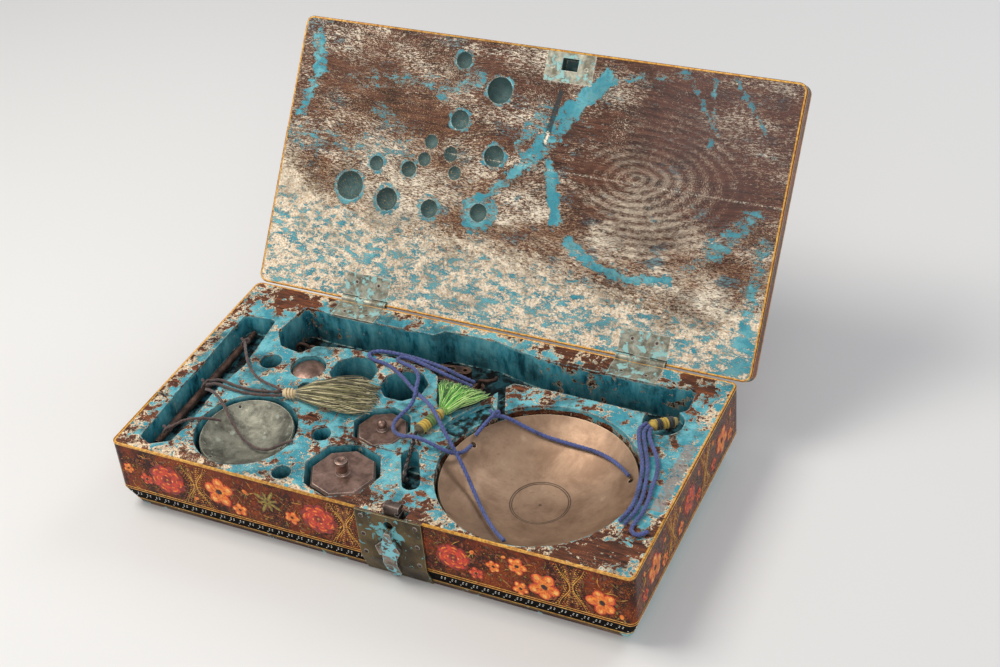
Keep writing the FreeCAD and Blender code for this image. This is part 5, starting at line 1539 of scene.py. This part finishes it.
@dataclass
class CasePaint:
    """The frieze, lines and dotted band on the case's four sides."""

    seed: int = 21
    frieze_low: float = 15.8
    frieze_high: float = 43.4
    dot_pitch: float = 6.0

    def lines(self, paint: Ornament) -> None:
        """The gold lines round the case, open at the lock."""
        for z, width in ((45.2, 1.1), (15.3, 0.55), (13.95, 0.5)):
            around = loop(-HALF_WIDTH, HALF_WIDTH, -HALF_DEPTH, HALF_DEPTH, CASE_CORNER, z, 0.02)
            path = [Vector((LOCK_RIGHT, around[0].y, z)), *around, Vector((LOCK_LEFT, around[0].y, z))]
            paint.line(Ink.GOLD, path, width, UP)
        for z, width, ink in ((4.6, 0.6, Ink.GOLD), (3.4, 0.35, Ink.LEAF)):
            inset = PLINTH_INSET * (1 - z / PLINTH_TOP)
            around = loop(-HALF_WIDTH + inset, HALF_WIDTH - inset, -HALF_DEPTH + inset, HALF_DEPTH - inset, CASE_CORNER, z, 0.03)
            path = [Vector((LOCK_RIGHT, around[0].y, z)), *around, Vector((LOCK_LEFT, around[0].y, z))]
            paint.line(ink, path, width, UP)
        inset = 0.9
        around = loop(-HALF_WIDTH + inset, HALF_WIDTH - inset, -HALF_DEPTH + inset, HALF_DEPTH - inset, CASE_CORNER - inset, CASE_TOP)
        front = [point for point in around if point.y < -33.4]
        back = [point for point in around if point.y >= -33.4]
        seam = Vector((HALF_WIDTH - inset, -33.4, CASE_TOP))
        low = Vector((0, 0, -0.6))
        right = [Vector((LOCK_RIGHT, front[0].y, CASE_TOP)), *[q for q in front if q.x > 0], seam]
        left = [Vector((-seam.x, seam.y, seam.z)), *[q for q in front if q.x < 0], Vector((LOCK_LEFT, front[0].y, CASE_TOP))]
        flat = Vector((0, 0, 1))
        for path in ([q + low for q in right], [q + low for q in left], [seam, *back, Vector((-seam.x, seam.y, seam.z))]):
            sweep(paint.ink(Ink.GOLD), path, Ring.oval(6, 0.3, 1.2), up=flat)

    def dots(self, paint: Ornament) -> None:
        """The white dots on the dark band, in diamonds of four with one between."""
        slope = Vector((0.0, 0.0, PLINTH_TOP))
        sides = (
            ((0.0, -HALF_DEPTH, PLINTH_TOP), (1, 0, 0), (0, -1, 0), HALF_WIDTH),
            ((HALF_WIDTH, 0.0, PLINTH_TOP), (0, 1, 0), (1, 0, 0), HALF_DEPTH),
            ((0.0, HALF_DEPTH, PLINTH_TOP), (-1, 0, 0), (0, 1, 0), HALF_WIDTH),
            ((-HALF_WIDTH, 0.0, PLINTH_TOP), (0, -1, 0), (-1, 0, 0), HALF_DEPTH),
        )
        for number, (origin, along, out, half) in enumerate(sides):
            up = slope + Vector(out) * PLINTH_INSET
            plane = Plane(origin, along, tuple(up))
            count = int((2 * half - 8) / self.dot_pitch)
            for i in range(count + 1):
                u = -half + 4 + self.dot_pitch * i
                if number == 0 and LOCK_LEFT - 2 < u < LOCK_RIGHT + 2:
                    continue
                for du, dv in ((-0.6, 0.95), (1.3, 0.95), (-1.3, -0.95), (0.6, -0.95)):
                    paint.dab(Ink.WHITE, plane, u + du, -3.4 + dv, 0.95, 0.95, 0.0, 0.16, 1)
                paint.dab(Ink.WHITE, plane, u + self.dot_pitch / 2, -6.6, 0.95, 0.85, 0.0, 0.14, 1)

    def front(self, paint: Ornament) -> None:
        """The front's flowers, where the old box has them."""
        plane = Plane((0.0, -HALF_DEPTH, 0.0), (1, 0, 0), (0, 0, 1))
        rng = random.Random(self.seed)
        self.fill(paint, rng, plane, -147.0, LOCK_LEFT - 1.0)
        self.fill(paint, rng, plane, LOCK_RIGHT + 1.0, 147.0)
        for u, v, size in ((54.0, 28.6, 17.5), (-117.1, 28.2, 21.0), (-23.1, 29.6, 20.0)):
            paint.rose(plane, u, v, size, rng.uniform(0, 6.3))
        for u, v, size, ink in (
            (103.0, 24.9, 16.5, Ink.ORANGE), (133.3, 24.9, 15.5, Ink.ORANGE), (89.0, 34.1, 10.5, Ink.ORANGE),
            (90.0, 19.4, 8.5, Ink.ORANGE), (76.0, 29.6, 7.5, Ink.ORANGE), (-83.9, 29.5, 17.5, Ink.ORANGE),
            (-72.5, 20.4, 8.5, Ink.ORANGE), (-39.6, 25.3, 8.5, Ink.ORANGE), (-142.0, 29.3, 6.5, Ink.ORANGE),
            (-131.0, 24.5, 8.0, Ink.RED), (66.0, 21.5, 8.0, Ink.RED),
        ):
            paint.flower(plane, u, v, size, ink, rng.uniform(0, 6.3))
        for u, v, size in ((143.2, 18.8, 3.6), (64.8, 35.5, 3.4), (-66.9, 34.7, 4.0), (-100.0, 20.0, 3.4), (82.0, 38.0, 3.0)):
            paint.bud(plane, u, v, size, Ink.ORANGE, rng.uniform(0.5, 2.5))
        paint.spray(plane, -53.5, 32.0, 17.0, 0.3, 8)
        for u in (117.5, -98.8, -7.4):
            paint.strapwork(plane, u, self.frieze_low, self.frieze_high, 7.5)

    def fill(self, paint: Ornament, rng: random.Random, plane: Plane, u0: float, u1: float) -> None:
        """The tendrils behind the flowers."""
        paint.vine(rng, plane, u0, u1, self.frieze_low, self.frieze_high)

    def side(self, paint: Ornament, plane: Plane, half: float, seed: int) -> None:
        """One of the other sides: panels of flowers between straps."""
        rng = random.Random(seed)
        self.fill(paint, rng, plane, -half + 3, half - 3)
        panels = max(2, round(2 * half / 50))
        wide = (2 * half - 6) / panels
        for i in range(panels):
            u = -half + 3 + wide * (i + 0.5)
            if i % 2:
                paint.rose(plane, u, 29.5, 16.0, rng.uniform(0, 6.3))
            else:
                paint.flower(plane, u, 28.5, 16.0, Ink.ORANGE, rng.uniform(0, 6.3))
            for sign in (-1, 1):
                paint.flower(plane, u + sign * wide * 0.27, rng.uniform(20, 24), 7.5, rng.choice((Ink.RED, Ink.ORANGE)), rng.uniform(0, 6.3))
                paint.bud(plane, u + sign * wide * 0.28, rng.uniform(34, 38), 3.6, Ink.ORANGE, rng.uniform(0.5, 2.6))
            if i:
                paint.strapwork(plane, u - wide / 2, self.frieze_low, self.frieze_high, 6.5)

    def build(self) -> None:
        """Makes the case's ornament."""
        paint = Ornament("case_paint", "case", "tray_wood")
        self.front(paint)
        self.side(paint, Plane((HALF_WIDTH, 0.0, 0.0), (0, 1, 0), (0, 0, 1)), HALF_DEPTH, self.seed + 1)
        self.side(paint, Plane((0.0, HALF_DEPTH, 0.0), (-1, 0, 0), (0, 0, 1)), HALF_WIDTH, self.seed + 2)
        self.side(paint, Plane((-HALF_WIDTH, 0.0, 0.0), (0, -1, 0), (0, 0, 1)), HALF_DEPTH, self.seed + 3)
        self.lines(paint)
        self.dots(paint)
        paint.build()


@dataclass
class LidPaint:
    """The lines round the lid's edge and the bordered flower field on its outside."""

    seed: int = 40

    def frame(self, paint: Ornament, inset: float, width: float, ink: Ink) -> None:
        """A line round the lid's outside face."""
        x0, x1 = LID_LEFT + inset, LID_RIGHT - inset
        y1, y0 = HINGE_Y - inset, HINGE_Y - LID_LENGTH + inset
        around = loop(x0, x1, y0, y1, 2.0, LID_TOP)
        path = [Vector(((x0 + x1) / 2, y0, LID_TOP)), *around, Vector(((x0 + x1) / 2, y0, LID_TOP))]
        sweep(paint.ink(ink), [paint.turn @ point for point in path], Ring.oval(6, 0.3, width),
              up=(paint.turn.to_3x3() @ UP).normalized())

    def build(self) -> None:
        """Makes the lid's ornament."""
        paint = Ornament("lid_paint", "lid", "lid_wood", lid_opening())
        y0 = HINGE_Y - LID_LENGTH
        for z, width in ((LID_UNDER + 1.2, 0.9), (LID_TOP - 2.6, 0.8)):
            around = loop(LID_LEFT, LID_RIGHT, y0, HINGE_Y, 5.0, z, 0.02)
            path = [Vector((3.0, y0, z)), *around, Vector((3.0, y0, z))]
            paint.line(Ink.GOLD, path, width, UP)
        under = loop(LID_LEFT + 0.7, LID_RIGHT - 0.7, y0 + 0.7, HINGE_Y - 0.7, 4.3, LID_UNDER)
        under = [Vector((3.0, y0 + 0.7, LID_UNDER)), *under, Vector((3.0, y0 + 0.7, LID_UNDER))]
        sweep(paint.ink(Ink.GOLD), [paint.turn @ point for point in under], Ring.oval(6, 0.24, 1.1),
              up=(paint.turn.to_3x3() @ UP).normalized())
        for inset, width, ink in ((3.4, 0.9, Ink.GOLD), (5.0, 0.4, Ink.GOLD), (13.0, 0.4, Ink.GOLD), (14.6, 0.9, Ink.GOLD)):
            self.frame(paint, inset, width, ink)
        middle = (HINGE_Y + y0) / 2
        plane = Plane((3.0, middle, LID_TOP), (1, 0, 0), (0, 1, 0))
        half_u, half_v = (LID_RIGHT - LID_LEFT) / 2, LID_LENGTH / 2
        for half, other, upright in ((half_u, half_v, False), (half_v, half_u, True)):
            count = int((2 * half - 20) / 6.0)
            for side in (-1, 1):
                for i in range(count + 1):
                    along, across = -half + 10 + (2 * half - 20) * i / count, side * (other - 9.0)
                    for da, dc in ((0.0, 0.85), (-0.85, 0.0), (0.85, 0.0), (0.0, -0.85)):
                        place = (across + dc, along + da) if upright else (along + da, across + dc)
                        paint.dab(Ink.WHITE, plane, *place, 0.85, 0.8, 0.0, 0.14, 1)
        rng = random.Random(self.seed)
        inner_u, inner_v = half_u - 17, half_v - 17
        for row in range(5):
            low = -inner_v + 2 * inner_v * row / 5
            paint.vine(rng, plane, -inner_u, inner_u, low, low + 2 * inner_v / 5)
        lobes = [(62 * math.cos(a) * (1 + 0.07 * math.cos(12 * a)), 40 * math.sin(a) * (1 + 0.07 * math.cos(12 * a)))
                 for a in (2 * math.pi * k / 96 for k in range(97))]
        matrix = paint.turn @ plane.matrix()
        out = (matrix.to_3x3() @ UP).normalized()
        sweep(paint.ink(Ink.GOLD), [matrix @ Vector((u, v, 0.0)) for u, v in lobes], Ring.oval(6, 0.3, 0.9), up=out)
        paint.rose(plane, 0.0, 0.0, 26.0, 0.2)
        for i in range(6):
            angle = math.pi * i / 3 + 0.5
            paint.flower(plane, 38 * math.cos(angle), 23 * math.sin(angle), 14.0, Ink.ORANGE, angle)
            paint.bud(plane, 50 * math.cos(angle + 0.5), 30 * math.sin(angle + 0.5), 4.6, Ink.ORANGE, angle)
        for su in (-1, 1):
            for sv in (-1, 1):
                paint.rose(plane, su * (inner_u - 18), sv * (inner_v - 14), 18.0, su + sv)
                paint.flower(plane, su * (inner_u - 42), sv * (inner_v - 12), 13.0, Ink.ORANGE, su - sv)
                paint.flower(plane, su * (inner_u - 14), sv * (inner_v - 38), 12.0, Ink.ORANGE, su * 2.0)
                paint.spray(plane, su * (inner_u - 58), sv * (inner_v - 26), 16.0, 0.4, 8)
            paint.flower(plane, su * 92.0, 0.0, 17.0, Ink.ORANGE, 0.4)
        paint.build()


@dataclass
class Furnishings:
    """The finishes of the nodes that keep their own shape."""

    paint: PaintColours = field(default_factory=PaintColours)

    def finishes(self) -> dict[str, tuple[bpy.types.Material, tuple[str, ...]]]:
        """Each material with the nodes that take it."""
        dark_brass = MetalFinish(
            "old_brass", srgb(108, 92, 62), srgb(62, 54, 42), srgb(176, 162, 124), rough=0.4, metal=0.75, mottle=0.07,
            paint=srgb(96, 158, 162), paint_share=0.66, paint_near=(18.5, 33.0, 9.0))
        iron = MetalFinish(
            "old_iron", srgb(104, 90, 82), srgb(52, 38, 32), srgb(170, 160, 152), rough=0.45, metal=0.75)
        hasp = MetalFinish(
            "hasp_metal", srgb(150, 136, 124), srgb(78, 64, 54), srgb(222, 214, 204), rough=0.34, metal=0.8,
            paint=srgb(122, 184, 190), paint_share=0.66)
        leaf = MetalFinish(
            "hinge_leaf", srgb(170, 168, 150), srgb(104, 98, 82), srgb(226, 222, 202), rough=0.42, metal=0.6,
            mottle=0.2, paint=srgb(142, 184, 178), paint_share=0.6)
        large = MetalFinish(
            "satin_bronze", srgb(166, 136, 110), srgb(132, 104, 82), srgb(196, 168, 138), rough=0.4, metal=0.7,
            mottle=0.05, pitting=0.08, engraved=(77.3, -23.5, (0.5, 14.7, 15.7)))
        small = MetalFinish(
            "dull_pan_bronze", srgb(136, 134, 118), srgb(74, 72, 62), srgb(192, 190, 170), rough=0.46, metal=0.55,
            mottle=0.1, spots=srgb(178, 184, 166), pitting=0.1)
        weight = MetalFinish(
            "cast_bronze", srgb(154, 124, 110), srgb(98, 76, 66), srgb(222, 202, 188), rough=0.34, metal=0.8, mottle=0.12)
        beam = MetalFinish(
            "dark_bronze", srgb(98, 72, 60), srgb(52, 36, 30), srgb(150, 120, 98), rough=0.5, metal=0.65, mottle=0.15)
        hinges = tuple(f"hinge_{side}_{end}_leaf" for side in ("left", "right") for end in ("case", "lid"))
        return {
            "tray": (TrayFinish().build(), ("tray_front_board", "tray_back_board")),
            "lid": (LidFinish().build(), ("lid_front_board", "lid_back_board")),
            "bottom": (BottomFinish().build(), ("bottom_board",)),
            "brass": (dark_brass.build(), ("lock_plate",)),
            "hasp": (hasp.build(), ("hasp_strap", "hasp_knuckle")),
            "iron": (iron.build(), (
                "lock_plate_nails", "hinge_left_pin", "hinge_right_pin",
                "hinge_case_rivets", "hinge_lid_rivets", "catch_bolt")),
            "leaf": (leaf.build(), hinges + ("lid_catch_plate", "lid_catch_rivets")),
            "large": (large.build(), ("large_pan_upper", "large_pan_lower")),
            "small": (small.build(), ("small_pan_upper", "small_pan_lower")),
            "weight": (weight.build(), (
                "weight_large", "weight_large_knob", "weight_medium", "weight_medium_knob", "weight_small")),
            "beam": (beam.build(), (
                "large_beam", "large_beam_pivot", "large_beam_shears", "large_beam_hooks", "small_beam")),
        }

    def build(self, nodes: dict[str, bpy.types.Object]) -> None:
        """Gives each node its material.

        Args:
            nodes: The frame's nodes by name.
        """
        for material, names in self.finishes().values():
            for name in names:
                held = nodes[name].data.materials
                held.clear()
                held.append(material)
                log.info("%s takes %s", name, material.name)


@dataclass
class Studio:
    """The camera at the photograph's angle, a pale floor and soft light."""

    target: Point = (-38.9, 111.7, 26.0)
    azimuth: float = 29.7
    elevation: float = 35.93
    roll: float = -6.7
    distance: float = 1030.5
    lens: float = 62.18
    shift: tuple[float, float] = (0.0488, -0.0225)

    def camera(self) -> None:
        """Makes the scene's camera."""
        a, e, r = (math.radians(v) for v in (self.azimuth, self.elevation, self.roll))
        back = Vector((math.sin(a) * math.cos(e), -math.cos(a) * math.cos(e), math.sin(e)))
        right = (-back).cross(UP).normalized()
        up = right.cross(-back)
        side = right * math.cos(r) + up * math.sin(r)
        top = up * math.cos(r) - right * math.sin(r)
        data = bpy.data.cameras.new("camera")
        data.lens, data.sensor_width = self.lens, 36.0
        data.shift_x, data.shift_y = self.shift
        data.clip_start, data.clip_end = 0.01, 50.0
        made = bpy.data.objects.new("camera", data)
        matrix = Matrix((side, top, back)).transposed().to_4x4()
        matrix.translation = (Vector(self.target) + back * self.distance) * MM
        made.matrix_world = matrix
        bpy.context.scene.collection.objects.link(made)
        bpy.context.scene.camera = made

    def lamp(self, name: str, place: Point, aim: Point, size: float, power: float, colour: Colour) -> None:
        """Adds a square soft lamp that looks at a point; places are in metres."""
        data = bpy.data.lights.new(name, "AREA")
        data.shape, data.size, data.energy, data.color = "SQUARE", size, power, colour
        made = bpy.data.objects.new(name, data)
        made.location = place
        made.rotation_mode = "QUATERNION"
        made.rotation_quaternion = (Vector(aim) - Vector(place)).to_track_quat("-Z", "Y")
        bpy.context.scene.collection.objects.link(made)

    def floor(self) -> None:
        """Makes the floor and the even light of the room."""
        bm = bmesh.new()
        bmesh.ops.create_grid(bm, x_segments=1, y_segments=1, size=6.0)
        mesh = bpy.data.meshes.new("floor")
        bm.to_mesh(mesh)
        bm.free()
        mesh.materials.append(FloorFinish().build())
        made = bpy.data.objects.new("floor", mesh)
        bpy.context.scene.collection.objects.link(made)
        world = bpy.data.worlds.new("room")
        world.use_nodes = True
        sky = world.node_tree.nodes["Background"]
        sky.inputs[0].default_value = (0.86, 0.9, 1.0, 1.0)
        sky.inputs[1].default_value = 0.45
        bpy.context.scene.world = world

    def build(self) -> None:
        """Makes the studio."""
        self.camera()
        self.floor()
        self.lamp("key", (-0.55, -0.15, 1.05), (0.0, 0.0, 0.03), 0.55, 10.5, (1.0, 0.97, 0.92))
        self.lamp("front", (0.5, -1.2, 0.6), (0.0, 0.0, 0.05), 0.9, 7.0, (1.0, 0.98, 0.96))
        self.lamp("back", (0.5, 0.9, 0.9), (0.0, 0.05, 0.05), 0.6, 4.5, (0.92, 0.96, 1.0))


def main() -> None:
    """Builds the studio and every class of pieces in order."""
    logging.basicConfig(level=logging.INFO, format="%(name)s: %(message)s")
    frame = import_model()
    bpy.context.scene.view_settings.view_transform = "Standard"
    Studio().build()
    BalanceCords().build()
    Tassels().build()
    Furnishings().build(frame["nodes"])
    CasePaint().build()
    LidPaint().build()


if __name__ == "__main__":
    main()
